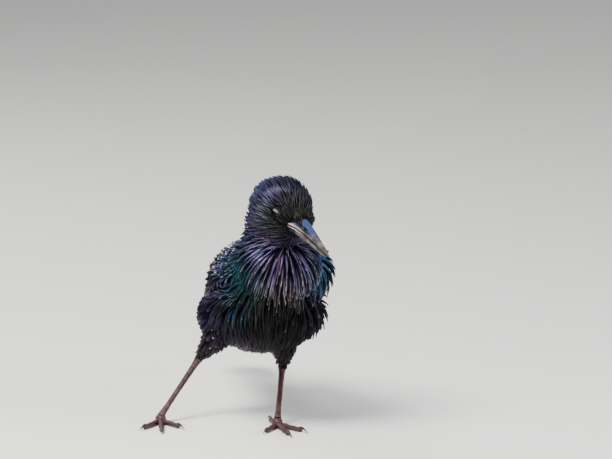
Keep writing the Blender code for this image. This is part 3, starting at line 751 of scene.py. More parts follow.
def shapeBill(made, upper):
    # works in the head frame: the ridge by the mouth with the mark for its painted highlight, the nostril
    # with the mark for its painted shade, and the parted gape
    aside, ahead, above = bill["nostril"]
    hinge = moved(bill["hinge"])
    shorter = Matrix.Diagonal((1, bill["lowerShorter"], 1, 1))
    drop = hinge @ turned("X", bill["gape"]) @ shorter @ hinge.inverted()
    first, last = billEnds
    low, high = bill["flangeReach"]
    horn = []
    for vertex in made.data.vertices:
        p = vertex.co.copy()
        forward = -p.y
        halfWidth, mouth, culmen, gonys = softBillRow(forward)
        height = abs((culmen if upper else gonys) - mouth) + 1e-6
        up = min(1, abs(p.z - mouth) / height)
        # the edge mark places the painted highlight along the ridge by the mouth
        edge = bell(up, 0.13, 0.085) * (1 - rise(bill["ridgeEnd"] - 8, bill["ridgeEnd"], forward))
        outer = min(1, abs(p.x) / (halfWidth + 1e-6))
        if outer > 0.55:
            p.x *= 1 + bill["ridge"] * edge * 0.5 / max(halfWidth, 1)
        flange = bell(up, 0, 0.24) * rise(low - 2, low, forward) * (1 - rise(low + 1, high, forward))
        p.x *= 1 + bill["flange"] * flange
        groove = bell(up, 0.42, 0.12) * rise(8, 12, forward) * (1 - rise(22, 30, forward))
        p.x *= 1 - bill["groove"] * groove / max(halfWidth, 1)
        if upper and abs(p.x) > 0.8:
            along = (forward - ahead) / bill["nostrilReach"][0]
            tall = (p.z - above - 0.12 * (forward - ahead)) / bill["nostrilReach"][1]
            pit = math.exp(-(along ** 2 + tall ** 2))
            flap = math.exp(-(along ** 2 * 0.7 + (tall - 1.7) ** 2))
            p.x -= math.copysign(1, p.x) * (bill["nostrilDepth"] * pit - 0.16 * flap)
            # the pit's negative mark becomes painted shade in the bill's finish
            edge -= pit * 2
        share = (forward - first) / (last - first)
        horn.append((share, up if outer > 0.02 else 1.0, edge * rise(0.3, 0.6, outer)))
        vertex.co = p if upper else drop @ p
    layer = made.data.attributes.new("horn", "FLOAT_VECTOR", "POINT")
    layer.data.foreach_set("vector", np.array(horn, np.float32).ravel())
    return settle(made, toRow @ headFrame)


def coatedBill(onHead, upper):
    # where short feathers grow on the bill: behind the nostrils and on the chin
    forward, height = -onHead[:, 1], onHead[:, 2]
    _, mouth, top, low = billRow(forward)
    if not upper:
        reach, least = bill["chinCoat"]
        return (forward < reach) & ((mouth - height) / (mouth - low) > least)
    reach, highest, slant, least = bill["sideCoat"]
    return (forward < reach + (highest - height) * slant) & ((height - mouth) / (top - mouth) > least)


horns = {}
for name, upper in (("bill_top", True), ("bill_bottom", False)):
    part = horns[upper] = shapeBill(makeBill(name, upper), upper)
    smoothed(part, 55)
    finished(part, billFinishes[upper], ["bill_upper" if upper else "bill_lower"])
print("bill ready")


# Vanes and plumes as arrays: every feather is a closed blade


def meshOf(name, points, faces, values):
    # points in the row frame; faces is a list of index arrays with 3 or 4 columns
    mesh = bpy.data.meshes.new(name)
    mesh.vertices.add(len(points))
    mesh.vertices.foreach_set("co", np.asarray(points, np.float32).ravel())
    sizes = np.concatenate([np.full(len(f), f.shape[1]) for f in faces])
    corners = np.concatenate([f.ravel() for f in faces])
    mesh.loops.add(len(corners))
    mesh.loops.foreach_set("vertex_index", corners.astype(np.int32))
    mesh.polygons.add(len(sizes))
    mesh.polygons.foreach_set("loop_start", np.concatenate([[0], np.cumsum(sizes)[:-1]]).astype(np.int32))
    mesh.update(calc_edges=True)
    for key, rows in values.items():
        kind = "FLOAT_COLOR" if key in ("tone", "tipTone") else "FLOAT_VECTOR"
        layer = mesh.attributes.new(key, kind, "POINT")
        if kind == "FLOAT_COLOR":
            rows = np.concatenate([rows, np.ones((len(rows), 1))], axis=1)
            layer.data.foreach_set("color", rows.astype(np.float32).ravel())
        else:
            layer.data.foreach_set("vector", rows.astype(np.float32).ravel())
    made = bpy.data.objects.new(name, mesh)
    bpy.context.scene.collection.objects.link(made)
    return made


def bladeFaces(count, stations, across):
    # one blade: stations rows of top points and of under points, closed all round
    top = np.arange(stations * across).reshape(stations, across)
    under = top + stations * across

    def sheet(grid, flip):
        a, b, c, d = grid[:-1, :-1], grid[:-1, 1:], grid[1:, 1:], grid[1:, :-1]
        order = (a, d, c, b) if flip else (a, b, c, d)
        return np.stack([g.ravel() for g in order], axis=1)

    quads = [sheet(top, False), sheet(under, True)]
    for edgeTop, edgeUnder in ((top[:, 0], under[:, 0]), (top[::-1, -1], under[::-1, -1]),
                               (top[0, ::-1], under[0, ::-1]), (top[-1], under[-1])):
        quads.append(np.stack([edgeTop[:-1], edgeTop[1:], edgeUnder[1:], edgeUnder[:-1]], axis=1))
    whole = np.concatenate(quads)
    offsets = np.arange(count)[:, None, None] * (2 * stations * across)
    return (whole[None] + offsets).reshape(-1, 4)


def vaneOutline(station, tipRound):
    # width of a flight feather down its length, with a rounded tip
    body = 0.55 + 0.45 * rise(0, 0.35, station)
    taper = max(0.0, 1 - max(0.0, (station - 0.55) / 0.45) ** tipRound)
    return body * max(0.06, taper ** 0.55)


def bladeRows(middles, sides, normals, widths, crown, shingle, thick):
    # top and under points of one blade, arched across its shaft
    across = np.linspace(-1, 1, wing["across"])
    top, under = [], []
    for middle, side, normal, width in zip(middles, sides, normals, widths):
        half = width / 2
        for u in across:
            raised = crown * half * (1 - u * u) * 0.5 + shingle * half * u
            top.append(middle + side * half * u + normal * (raised + 0.1 * bell(u, 0, 0.12)))
            under.append(middle + side * half * u + normal * (raised - thick * (1.15 - abs(u) * 0.75)))
    return top, under


def wingBlade(side, share, shape, lively):
    root, rootAngle, tip, tipAngle, width, lift = (blendOf(pair, share) for pair in shape)
    tip += lively * wing["lively"]
    middles, sides, normals, widths = [], [], [], []
    for station in np.linspace(0, 1, wing["stations"]) ** 0.9:
        along, angle = blendOf((root, tip), station), blendOf((rootAngle, tipAngle), station)
        up = lift - wing["rootSink"] * (1 - station) ** 2
        here = spindle(along, angle, up, side)
        ahead = (spindle(along + 0.5, angle, up, side) - spindle(along - 0.5, angle, up, side)).normalized()
        down = spindle(along, angle - 1, up, side) - spindle(along, angle + 1, up, side)
        normal = down.cross(ahead).normalized()
        if normal.x * side < 0:
            normal = -normal
        across = (down - ahead * down.dot(ahead)).normalized()
        middles.append(here)
        normals.append(normal)
        sides.append(across)
        widths.append(width * vaneOutline(station, 2.4) * 1.04)
    return bladeRows(middles, sides, normals, widths, wing["crown"], wing["shingle"], wing["thick"])


def finishBlades(name, blades, place, node):
    # each blade is (top, under, tone, tip tone, tip start, gloss)
    stations, across = wing["stations"], wing["across"]
    points, values = [], {"vane": [], "tone": [], "tipTone": [], "trim": []}
    grid = [(a, u) for a in np.linspace(0, 1, stations) for u in np.linspace(-1, 1, across)]
    for top, under, tone, tipTone, tipStart, gloss in blades:
        chance = draws.random()
        points += [place @ p for p in top + under]
        values["vane"] += [(a, u, chance) for a, u in grid] * 2
        values["tone"] += [np.array(tone) * (0.8 + 0.4 * chance)] * len(grid) * 2
        values["tipTone"] += [tipTone] * len(grid) * 2
        # 0.35 is the share of the painted highlight along each blade's shaft
        values["trim"] += [(0.35, tipStart, gloss)] * len(grid) * 2
    values = {key: np.array(rows) for key, rows in values.items()}
    made = meshOf(name, asArray(points), [bladeFaces(len(blades), stations, across)], values)
    return finished(smoothed(facedOut(made), 40), wingFinish, [node])


def makeWing(side, word):
    blades = []
    for (count, *shape), look in wing["tiers"].values():
        for k in range(count):
            rows = wingBlade(side, k / (count - 1), shape, draws.uniform(-1, 1))
            blades.append((*rows, *look))
    return finishBlades(f"wing_feathers_{word}", blades, toRow @ bodyFrame, f"wing_{word}")


wings = {word: makeWing(side, word) for side, word in bothHands}

tailFan = {
    "pairs": 6, "length": (63.5, 66.5), "rootSpread": (0.7, 3.4), "tipSpread": (2.4, 6.9),
    "width": 8.4, "layer": 0.24, "look": ((0.02, 0.018, 0.02), (0.15, 0.1, 0.06), 0.96, 0.35),
}


def makeTail():
    blades = []
    for pair in reversed(range(tailFan["pairs"])):
        for side in (1, -1):
            share = pair / (tailFan["pairs"] - 1)
            length = blendOf(tailFan["length"], share)
            root, tip = (side * blendOf(tailFan[k], share) for k in ("rootSpread", "tipSpread"))
            layer = (2 * pair + (side > 0)) * tailFan["layer"]
            middles, widths = [], []
            for station in np.linspace(0, 1, wing["stations"]) ** 0.9:
                middles.append(Vector((root + (tip - root) * station, length * station, -layer)))
                widths.append(tailFan["width"] * vaneOutline(station, 3.2))
            count = len(middles)
            rows = bladeRows(middles, [Vector((1, 0, 0))] * count, [upward] * count,
                             widths, 0.1, -side * wing["shingle"], wing["thick"])
            blades.append((*rows, *tailFan["look"]))
    finishBlades("tail_feathers", blades, toRow @ tailFrame, "tail")


makeTail()
print("wings and tail ready")


# Legs and feet

legs = {
    "right": {"ankle": (-23.7, 19.7, 25.8), "foot": (-40.9, 13.4, 3.2), "heading": -8},
    "left": {"ankle": (10.6, 17.8, 21.6), "foot": (4.9, -2.6, 3.2), "heading": 4},
    # share of the way down, half-width
    "rows": ((0, 1.9), (0.05, 1.95), (0.1, 1.6), (0.2, 1.28), (0.5, 1.12), (0.82, 1.15),
             (0.93, 1.4), (1, 1.6)),
    "deeper": 1.25, "above": 1.6, "sides": 24, "stations": 84, "scutes": 9, "scuteStep": 0.17,
    # heading to the bird's outer side, length, claw, joints
    "toes": {
        "inner": (-33, 13.5, 5.6, 2), "middle": (0, 19.5, 6.6, 3),
        "outer": (28, 15, 5.6, 3), "hind": (180, 12, 8, 2),
    },
    "toeRadius": (1.22, 0.95), "toeSides": 20, "toeScute": 1.35, "toeStep": 0.1,
    "sole": 0.02, "padSwell": 0.16, "clawRadius": 0.82, "clawStations": 18, "clawSides": 16,
}


def makeLegFinish():
    made = Finish("legSkin", IOR=1.45, Specular_IOR_Level=0.3)
    place = made.place()
    blotch = made.noise(place, 160, 4, 0.6)
    fine = made.noise(place, 1300, 4, 0.6)
    step, height = made.attribute("scale", "Fac"), made.parts(place)[2]
    tone = made.mixed((0.03, 0.009, 0.012), (0.07, 0.026, 0.028), blotch.step(0.35, 0.65))
    tone = made.mixed(tone, (0.05, 0.026, 0.028), (1 - (height / (12 * mm)).step(0.05, 0.9)) * 0.65)
    tone = made.mixed(tone, (0.13, 0.07, 0.06), step.step(0.6, 1.0) * 0.35)
    tone = made.mixed(tone, (0.02, 0.01, 0.01), (1 - step.step(0.0, 0.22)) * 0.6)
    made.set(Base_Color=tone, Roughness=fine.between(0.32, 0.6), Normal=made.bump(fine, 0.5, 0.0002))
    return made.material


def makeClawFinish():
    made = Finish("clawHorn", IOR=1.5)
    grain = made.noise(made.stretched(made.place(), (1, 1, 2)), 900, 4)
    made.set(Base_Color=made.ramp(grain, [(0.3, (0.012, 0.009, 0.009)), (0.75, (0.05, 0.037, 0.032))]),
             Roughness=grain.between(0.2, 0.45), Normal=made.bump(grain, 0.3, 0.00012))
    return made.material


legFinish = makeLegFinish()
clawFinish = makeClawFinish()


def sawtooth(distance, pitch):
    # a plate that rises along its length and drops to the next
    share = (distance / pitch) % 1.0
    return share * (1 - rise(0.86, 1.0, share))


def scaledTube(name, rings, steps):
    # each vertex takes the step value of the ring point that it was drawn to
    made = drawnTube(name, rings)
    spots = asArray([toRow @ Vector(p) for ring in rings for p in ring])
    lookup = {tuple(np.round(p, 7)): s for p, s in zip(spots, steps)}
    values = [lookup.get(tuple(np.round(np.array(v.co), 7)), 0.5) for v in made.data.vertices]
    addNumbers(made, "scale", values)
    return made


def makeShank(word):
    joints = legs[word]
    ankle, foot = Vector(joints["ankle"]), Vector(joints["foot"])
    way = (foot - ankle).normalized()
    ankle = ankle - way * legs["above"]
    forward = Vector((0, -1, 0))
    forward = (forward - way * forward.dot(way)).normalized()
    across = way.cross(forward).normalized()
    table = np.array(legs["rows"])
    rings, steps = [], []
    length = (foot - ankle).length
    for i in range(legs["stations"]):
        share = i / (legs["stations"] - 1)
        radius = float(np.interp(share, table[:, 0], table[:, 1]))
        saw = sawtooth(share * length, length / legs["scutes"]) if share > 0.06 else 0.5
        fine = 0.5 + 0.5 * math.sin(share * length * math.tau / 1.1)
        ring = []
        for turn in stepsRound(legs["sides"]):
            front = max(0, math.cos(turn))
            plate = saw * legs["scuteStep"] * min(1, front * 1.6)
            pebble = fine * 0.05 * (1 - min(1, front * 2))
            reach = radius + plate + pebble - 0.14 * bell(abs(math.sin(turn)), 0.96, 0.1)
            ring.append(ankle.lerp(foot, share) + forward * math.cos(turn) * reach * legs["deeper"]
                        + across * math.sin(turn) * reach)
            steps.append(saw if front > 0.3 else 0.35 + 0.3 * fine)
        rings.append(ring)
    return scaledTube(f"shank_skin_{word}", rings, steps)


def toePath(word, toe):
    outward = 1 if word == "left" else -1
    turn, length, claw, joints = legs["toes"][toe]
    angle = math.radians(legs[word]["heading"] + outward * turn)
    way = Vector((math.sin(angle), -math.cos(angle), 0))
    root = Vector((*legs[word]["foot"][:2], 0))
    return root, way, length, claw, joints


def makeToe(word, toe):
    root, way, length, _, joints = toePath(word, toe)
    side = way.cross(upward)
    stations = int(length / legs["toeScute"] * 6)
    rings, steps = [], []
    for i in range(stations + 1):
        share = i / stations
        knuckle = 0.5 + 0.5 * math.cos(share * joints * math.tau)
        radius = blendOf(legs["toeRadius"], share) + 0.13 * knuckle - 0.06
        if share > 0.94:
            radius *= 1 - 0.55 * ((share - 0.94) / 0.06) ** 2
        saw = sawtooth(share * length, legs["toeScute"])
        arch = max(0.0, 1 - share * 5.5) * 1.35
        middle = legs["toeRadius"][0] - 0.05 + arch - 0.2 * share
        centre = root + way * length * share + upward * middle
        ring = []
        for turn in stepsRound(legs["toeSides"]):
            top = max(0, math.cos(turn))
            pads = legs["padSwell"] * (1 - knuckle) * max(0, -math.cos(turn))
            reach = radius + legs["toeStep"] * saw * min(1, top * 1.7) + pads
            point = centre + side * math.sin(turn) * reach * 0.95 + upward * (math.cos(turn) * reach)
            point.z = max(point.z, legs["sole"])
            ring.append(point)
            steps.append(saw if top > 0.25 else 0.45)
        rings.append(ring)
    return scaledTube("toe", rings, steps)


def makeFootPad(word):
    x, y, _ = legs[word]["foot"]
    pad = ball("pad", (x, y, 2.15), (2.2, 2.5, 2.1), cuts=4)
    for vertex in pad.data.vertices:
        p = toRow.inverted() @ vertex.co
        p += Vector((1, 1, 1)) * 0.06 * math.sin(p.x * 5) * math.sin(p.y * 5) * math.sin(p.z * 5)
        p.z = max(p.z, legs["sole"])
        vertex.co = toRow @ p
    addNumbers(pad, "scale", [0.5] * len(pad.data.vertices))
    return pad


def makeClaw(word, toe):
    root, way, length, claw, _ = toePath(word, toe)
    side = way.cross(upward)
    start = root + upward * 1.12 + way * (length - 1.9)
    end = start + way * (claw + 0.4) + upward * -0.85
    rings = []
    for i in range(legs["clawStations"] + 1):
        share = i / legs["clawStations"]
        centre = start.lerp(end, share) + upward * math.sin(math.pi * share ** 0.8)
        radius = legs["clawRadius"] * max(0.05, (1 - share) ** 0.72)
        ring = []
        for turn in stepsRound(legs["clawSides"]):
            keel = 1.12 if math.cos(turn) > 0 else 0.92
            point = centre + side * math.sin(turn) * radius * 0.8
            ring.append(point + upward * (math.cos(turn) * radius * keel))
        rings.append(ring)
    made = smoothed(drawnTube(f"claw_horn_{word}_{toe}", rings), 60)
    return finished(made, clawFinish, [f"claw_{word}_{toe}"])


def makeLeg(word):
    finished(smoothed(makeShank(word), 35), legFinish, [f"shank_{word}"])
    foot = joined([makeToe(word, toe) for toe in legs["toes"]] + [makeFootPad(word)])
    foot.name = f"foot_skin_{word}"
    finished(smoothed(foot, 35), legFinish, [f"foot_{word}"])
    for toe in legs["toes"]:
        makeClaw(word, toe)


for word in ("right", "left"):
    makeLeg(word)
print("legs ready")


# Coat: where each kind of feather grows, how it lies and what it shows

kinds = {
    # lie, length, width, spacing, height of the tip off the skin, point (0 round, 1 sharp), arch, jitter
    "lash": ("bill", 1.3, 0.42, 0.38, 0.3, 0.9, 0.2, 9),
    "bristle": ("bill", 2.2, 0.5, 0.4, 0.4, 1.0, 0.24, 10),
    "face": ("bill", 2.6, 0.62, 0.5, 0.55, 0.95, 0.24, 9),
    "cheek": ("bill", 4.2, 0.82, 0.74, 0.95, 1.0, 0.32, 7),
    "crown": ("bill", 6.4, 1.02, 1.02, 1.35, 1.0, 0.38, 7),
    "tuft": ("bill", 7.6, 1.2, 1.25, 3.1, 1.0, 0.38, 8),
    "nape": ("bill", 7.2, 1.4, 1.35, 2.1, 1.0, 0.36, 9),
    "hackle": ("hub", 12.0, 1.5, 1.42, 3.4, 1.0, 0.42, 10),
    "breast": ("hub", 11.0, 1.9, 1.7, 2.5, 0.95, 0.36, 9),
    "belly": ("down", 11.0, 1.6, 1.6, 2.4, 1.0, 0.3, 11),
    "vent": ("tail", 10.0, 2.4, 1.9, 2.2, 0.6, 0.3, 8),
    "flank": ("flank", 7.0, 3.2, 2.1, 1.6, 0.2, 0.3, 6),
    "covert": ("tail", 5.2, 2.0, 1.5, 2.2, 0.5, 0.3, 8),
    "mantle": ("tail", 6.6, 2.3, 1.7, 2.3, 0.5, 0.3, 8),
    "rump": ("tail", 9.0, 2.8, 2.1, 1.9, 0.4, 0.3, 8),
    "edge": ("down", 11.5, 2.6, 1.7, 7.4, 0.6, 0.34, 11),
    "thigh": ("leg", 4.6, 0.95, 0.95, 1.1, 0.85, 0.2, 12),
    "shin": ("leg", 2.6, 0.7, 0.65, 0.6, 0.8, 0.2, 12),
}

black, brown = (0.004, 0.0035, 0.004), (0.009, 0.006, 0.0045)
violet, purple, blue = (0.048, 0.024, 0.098), (0.038, 0.022, 0.072), (0.016, 0.027, 0.095)
cyan, teal, green = (0.008, 0.07, 0.16), (0.005, 0.042, 0.048), (0.008, 0.034, 0.022)
# lilac, slate, ashBlue and ashBrown colour pale tips and also the painted highlight along feather shafts
greyGreen, lilac = (0.024, 0.034, 0.032), (0.26, 0.22, 0.3)
buff, cream, straw = (0.15, 0.10, 0.06), (0.66, 0.6, 0.52), (0.2, 0.17, 0.14)
white, slate = (0.9, 0.88, 0.86), (0.065, 0.085, 0.12)
ashBlue, ashBrown = (0.14, 0.19, 0.26), (0.125, 0.115, 0.09)

# frame, place, reach, kind (and its lie where that is not the kind's own), tone, tip tone, tip start,
# gloss, share of the painted highlight along the shaft; x is for the bird's left
pairedPatches = {
    "crownSide": ("head", (9.5, -1.5, 8), 5, "crown", purple, slate, 0.97, 0.8, 0.6),
    "templeBack": ("head", (10.5, 8, 4), 5.5, "nape", (0.012, 0.035, 0.12), slate, 0.97, 0.85, 0.5),
    "brow": ("head", (7.2, -7, 6.2), 3.5, "cheek", black, ashBrown, 0.97, 0.5, 0.9),
    "lore": ("head", (6, -10.5, 0.8), 3.6, "face", (0.002, 0.002, 0.002), black, 0.97, 0.1, 0.0),
    "earCovert": ("head", (12, -2, -2), 4.5, "cheek", greyGreen, ashBlue, 0.97, 0.65, 0.6),
    "cheek": ("head", (9.3, -6, -5), 4, "cheek", greyGreen, ashBrown, 0.97, 0.6, 0.8),
    "jaw": ("head", (5.6, -8.8, -8.2), 3.6, "cheek", (0.010, 0.013, 0.011), ashBrown, 0.97, 0.5, 0.4),
    "neckSide": ("head", (9, 4.5, -9.5), 5, "nape", violet, lilac, 0.97, 0.85, 0.3),
    "napeSide": ("head", (11.2, 4, -4.5), 4, "nape", (0.03, 0.02, 0.06), lilac, 0.97, 0.85, 0.4),
    "nostril": ("head", (3.2, -12.5, 2), 2.6, "face", black, ashBrown, 0.97, 0.3, 0.8),
    "flankTop": ("floor", (21.5, -3, 54), 6, "flank", (0.010, 0.010, 0.034), cream, 1.05, 0.8, 0.0),
    "flank": ("floor", (23.5, -3, 47), 7, "flank", (0.008, 0.006, 0.02), cream, 1.02, 0.75, 0.0),
    "flankLow": ("floor", (20.6, 1, 39), 7, "flank", (0.006, 0.0045, 0.010), cream, 0.98, 0.5, 0.0),
    "flankIn": ("floor", (17.5, -16, 50), 7, "belly", black, ashBrown, 1.03, 0.35, 0.05),
    "flankBack": ("body", (20, 16, -8), 9, "flank tail", (0.006, 0.005, 0.010), cream, 0.99, 0.5, 0.0),
    "bellySide": ("floor", (11.6, -21.5, 45.5), 7, "belly", black, ashBrown, 1.05, 0.35, 0.05),
    "bellyLow": ("floor", (6, -11, 35.5), 7, "belly", black, buff, 1.0, 0.25, 0.05),
    "shoulder": ("body", (15.5, -21, 13), 6.5, "covert", (0.008, 0.017, 0.055), white, 0.84, 0.8, 0.0),
    "scapular": ("floor", (17.4, 2, 71), 5.5, "covert", (0.011, 0.014, 0.034), white, 0.84, 0.8, 0.0),
    "coverts": ("body", (21, -8, 4), 5.5, "covert", (0.016, 0.011, 0.009), (0.3, 0.2, 0.12), 0.88, 0.3, 0.0),
}
singlePatches = {
    "bridge": ("head", (0, -12, 4), 3.5, "face", black, ashBrown, 0.97, 0.3, 0.8),
    "forehead": ("head", (0, -8.5, 8), 5, "crown", (0.006, 0.005, 0.005), ashBrown, 0.97, 0.5, 1.0),
    "crownFront": ("head", (0, -3.7, 12), 5.5, "crown", (0.009, 0.009, 0.02), slate, 0.97, 0.7, 0.9),
    "crown": ("head", (0, 5.6, 12.4), 6, "crown", (0.017, 0.016, 0.06), slate, 0.97, 0.8, 0.7),
    "tuft": ("head", (3.8, 1, 12.2), 3.2, "tuft", (0.010, 0.010, 0.024), slate, 0.97, 0.7, 0.7),
    "hindCrown": ("head", (0, 14, 6.5), 6.5, "nape", blue, slate, 0.97, 0.85, 0.4),
    "nape": ("head", (0, 14.5, -5), 7, "nape", violet, lilac, 0.97, 0.85, 0.3),
    "hindNeck": ("floor", (1.5, -3, 84), 7, "nape back", violet, blue, 0.9, 0.8, 0.3),
    "chin": ("head", (0, -10.5, -9), 4, "cheek", black, black, 0.97, 0.3, 0.1),
    "violetRight": ("floor", (-2.5, -33.5, 81), 4.5, "hackle", violet, lilac, 0.84, 0.8, 0.5),
    "violetMid": ("floor", (-1, -34.5, 76), 4.5, "hackle", (0.035, 0.024, 0.06), lilac, 0.82, 0.8, 0.6),
    "throatTop": ("floor", (4.6, -36, 79), 4.5, "hackle", (0.03, 0.018, 0.06), lilac, 0.86, 0.75, 0.6),
    "throat": ("floor", (5.2, -36, 76.5), 4.5, "hackle", (0.036, 0.023, 0.066), lilac, 0.82, 0.75, 0.7),
    "throatLow": ("floor", (4, -35.4, 71.5), 4.5, "hackle", (0.018, 0.013, 0.022), straw, 0.7, 0.6, 0.7),
    "inkLeft": ("floor", (10.5, -33.5, 78), 4.5, "hackle", (0.014, 0.016, 0.05), ashBlue, 0.88, 0.75, 0.6),
    "inkLow": ("floor", (11.5, -32.5, 71), 5.5, "hackle", (0.008, 0.008, 0.016), straw, 0.78, 0.6, 0.6),
    "cyanEdge": ("floor", (17, -24.5, 75.5), 5, "hackle", cyan, ashBlue, 0.93, 0.85, 0.4),
    "cyanLow": ("floor", (18, -24, 71), 3.8, "hackle", (0.007, 0.055, 0.12), ashBlue, 0.93, 0.8, 0.4),
    "tealLeft": ("floor", (20.5, -7, 68), 4, "breast", teal, cyan, 0.93, 0.8, 0.3),
    "rightEdge": ("floor", (19, -16, 68.5), 5, "edge", (0.012, 0.010, 0.010), buff, 0.94, 0.3, 0.1),
    "rightFront": ("floor", (18.5, -18.5, 64.5), 3.6, "edge", (0.012, 0.010, 0.010), buff, 0.94, 0.3, 0.1),
    "rightLow": ("floor", (17.5, -13, 60), 5, "edge", (0.010, 0.008, 0.008), buff, 0.95, 0.25, 0.1),
    "rightLast": ("floor", (19, -9, 53), 4.5, "edge", (0.008, 0.007, 0.007), buff, 0.95, 0.25, 0.1),
    "tealHigh": ("floor", (-9, -28.5, 80.5), 4, "hackle", teal, cyan, 0.92, 0.8, 0.3),
    "tealRight": ("floor", (-10.5, -27.5, 76), 5, "hackle", teal, green, 0.92, 0.8, 0.3),
    "tealLow": ("floor", (-11.5, -26.3, 70), 5, "hackle", (0.007, 0.03, 0.022), teal, 0.92, 0.8, 0.3),
    "tealOut": ("floor", (-14.5, -20, 70), 5.5, "hackle", (0.006, 0.036, 0.05), cyan, 0.92, 0.8, 0.3),
    "blueEnd": ("floor", (-17.5, -12.5, 64), 5.5, "breast", (0.008, 0.026, 0.06), cyan, 0.93, 0.8, 0.3),
    "wristFront": ("body", (-18.2, -22, 3), 6, "covert", (0.006, 0.014, 0.024), straw, 0.95, 0.7, 0.1),
    "breastTop": ("floor", (3, -34.8, 65.5), 5.5, "belly hub", (0.006, 0.005, 0.006), straw, 0.99, 0.4, 0.2),
    "breastRight": ("floor", (-8, -29.5, 62), 6, "belly hub", (0.004, 0.005, 0.005), straw, 1.0, 0.45, 0.1),
    "breast": ("floor", (3.2, -32.5, 56), 7, "belly", black, ashBrown, 1.04, 0.3, 0.06),
    "bellyMid": ("floor", (0, -25, 44), 8, "belly", black, ashBrown, 1.06, 0.3, 0.05),
    "bellyBack": ("body", (0, 8, -22), 11, "belly tail", black, ashBrown, 1.05, 0.25, 0.1),
    "vent": ("body", (0, 34, -14), 13, "vent", brown, buff, 0.88, 0.25, 0.3),
    "mantle": ("body", (0.5, -14, 21), 8, "mantle", (0.006, 0.018, 0.02), cream, 0.9, 0.75, 0.2),
    "back": ("body", (0.5, 8, 19), 10, "mantle", (0.006, 0.016, 0.014), (0.32, 0.25, 0.17), 0.93, 0.7, 0.2),
    "rump": ("body", (0, 36, 10), 11, "rump", (0.007, 0.011, 0.013), buff, 0.93, 0.6, 0.2),
    "thighRight": ("floor", (-19, 9, 35), 6.5, "thigh legRight", brown, ashBrown, 1.0, 0.2, 0.2),
    "thighLeft": ("floor", (10, 8, 33), 6.5, "thigh legLeft", brown, ashBrown, 1.0, 0.2, 0.2),
    "shinRight": ("floor", (-23, 18, 27), 2.5, "shin legRight", brown, ashBrown, 0.97, 0.1, 0.2),
    "shinLeft": ("floor", (10.5, 16.5, 23), 2.5, "shin legLeft", brown, ashBrown, 0.97, 0.1, 0.2),
}


coat = {
    "tries": 260000, "cell": 1.3, "sink": (0.06, 0.12, 0.5), "turnEase": 0.5,
    "billBase": (0, -18, -1.5), "hub": (0, -10, -7), "hubSag": 0.45,
    "stations": (0, 0.22, 0.5, 0.76, 0.92, 1.0),
    "pointed": (0.5, 0.9, 1.0, 0.62, 0.26), "rounded": (0.5, 0.92, 1.0, 0.92, 0.62),
    "clump": (3.2, 3.2), "ridge": 0.16, "patchSize": 0.003, "mingle": 1.5,
    "lengths": (0.86, 1.14), "widths": (0.9, 1.1), "lifts": (0.75, 1.2),
    "toneSpread": 0.6, "mixTone": 0.12, "tipTones": (0.7, 1.25), "tipShift": 0.04,
    "wingClear": 3.4, "eyeClear": 2.3, "eyeOpening": (2.2, 1.0), "billClear": 0.15, "billArch": 0.85,
    "eyeRing": (8, 3.0, 2.2), "billRing": (12, 14.0, 0.4),
}


def bothSides():
    # paired patches are mirrored about the middle of their own frame's body
    middles = {"head": 0, "floor": 1.2, "body": 0.4}
    made = dict(singlePatches)
    for name, (place, (x, y, z), *rest) in pairedPatches.items():
        for side, word in bothHands:
            mirrored = (middles[place] + side * (x - middles[place]), y, z)
            made[name + word.capitalize()] = (place, mirrored, *rest)
    steps, long, tall = coat["eyeRing"]
    for side, word in bothHands:
        for k, turn in enumerate(stepsRound(steps)):
            spot = eyeFrameOf(side) @ Vector((2.4, long * math.cos(turn), tall * math.sin(turn)))
            tone = greyGreen if math.cos(turn) > 0 else black
            made[f"{word}Eye{k}"] = ("floor", tuple(spot), 1.1, "lash", tone, ashBrown, 0.97, 0.4, 0.3)
    steps, forward, out = coat["billRing"]
    wide, mouth, top, low = billRow(forward)
    for k, turn in enumerate(stepsRound(steps)):
        tall = (top - mouth if math.sin(turn) > 0 else mouth - low) + out
        ahead = forward + 2.2 * max(0, math.sin(turn))
        spot = headFrame @ Vector(((wide + out) * math.cos(turn), -ahead, mouth + tall * math.sin(turn)))
        made[f"billRing{k}"] = ("floor", tuple(spot), 1.5, "bristle", black, ashBrown, 1.0, 0.2, 0.1)
    return made


patches = bothSides()
patchKinds = [p[3].partition(" ") for p in patches.values()]
patchLies = [lie or kinds[kind][0] for kind, _, lie in patchKinds]
patchShapes = np.array([kinds[kind][1:] for kind, _, _ in patchKinds], float)
patchCentres = asArray([frames[p[0]] @ Vector(p[1]) for p in patches.values()])
patchReaches = np.array([p[2] for p in patches.values()], float)
patchLooks = np.array([(*p[4], *p[5], *p[6:]) for p in patches.values()], float)
toModel, toHead = toRow.inverted(), headFrame.inverted()


def patchShares(rows):
    # how much each patch counts at each point
    gaps = rows[:, None, :] - patchCentres[None]
    far = (gaps ** 2).sum(2) / patchReaches ** 2
    weights = np.exp(-0.5 * (far - far.min(1, keepdims=True))) + 1e-9
    return weights / weights.sum(1, keepdims=True)


def makeSteadyLies():
    # the lies that are the same all over the skin
    ways = {
        "tail": np.array((bodyFrame.to_3x3() @ Vector((0, 1, -0.12))).normalized()),
        "back": unit(np.array([0, 0.7, -0.7])), "down": unit(np.array([0, 0.12, -1.0])),
        "flank": unit(np.array([0, 0.75, -0.75])),
    }
    for word, (knee, ankle) in flesh["thighs"].items():
        ways["leg" + word] = unit(np.array(ankle, float) - np.array(knee, float))
    return ways


steadyLies = makeSteadyLies()


def lieOf(rows, shares):
    # the way feathers point, before it is laid on the skin
    billBase, hub = (np.array(headFrame @ Vector(coat[key])) for key in ("billBase", "hub"))
    toHub = unit(unit(rows - hub) + np.array([0, 0, -coat["hubSag"]]))
    ways = {**steadyLies, "bill": unit(rows - billBase), "hub": toHub}
    return unit(sum(shares[:, k:k + 1] * ways[lie] for k, lie in enumerate(patchLies)))


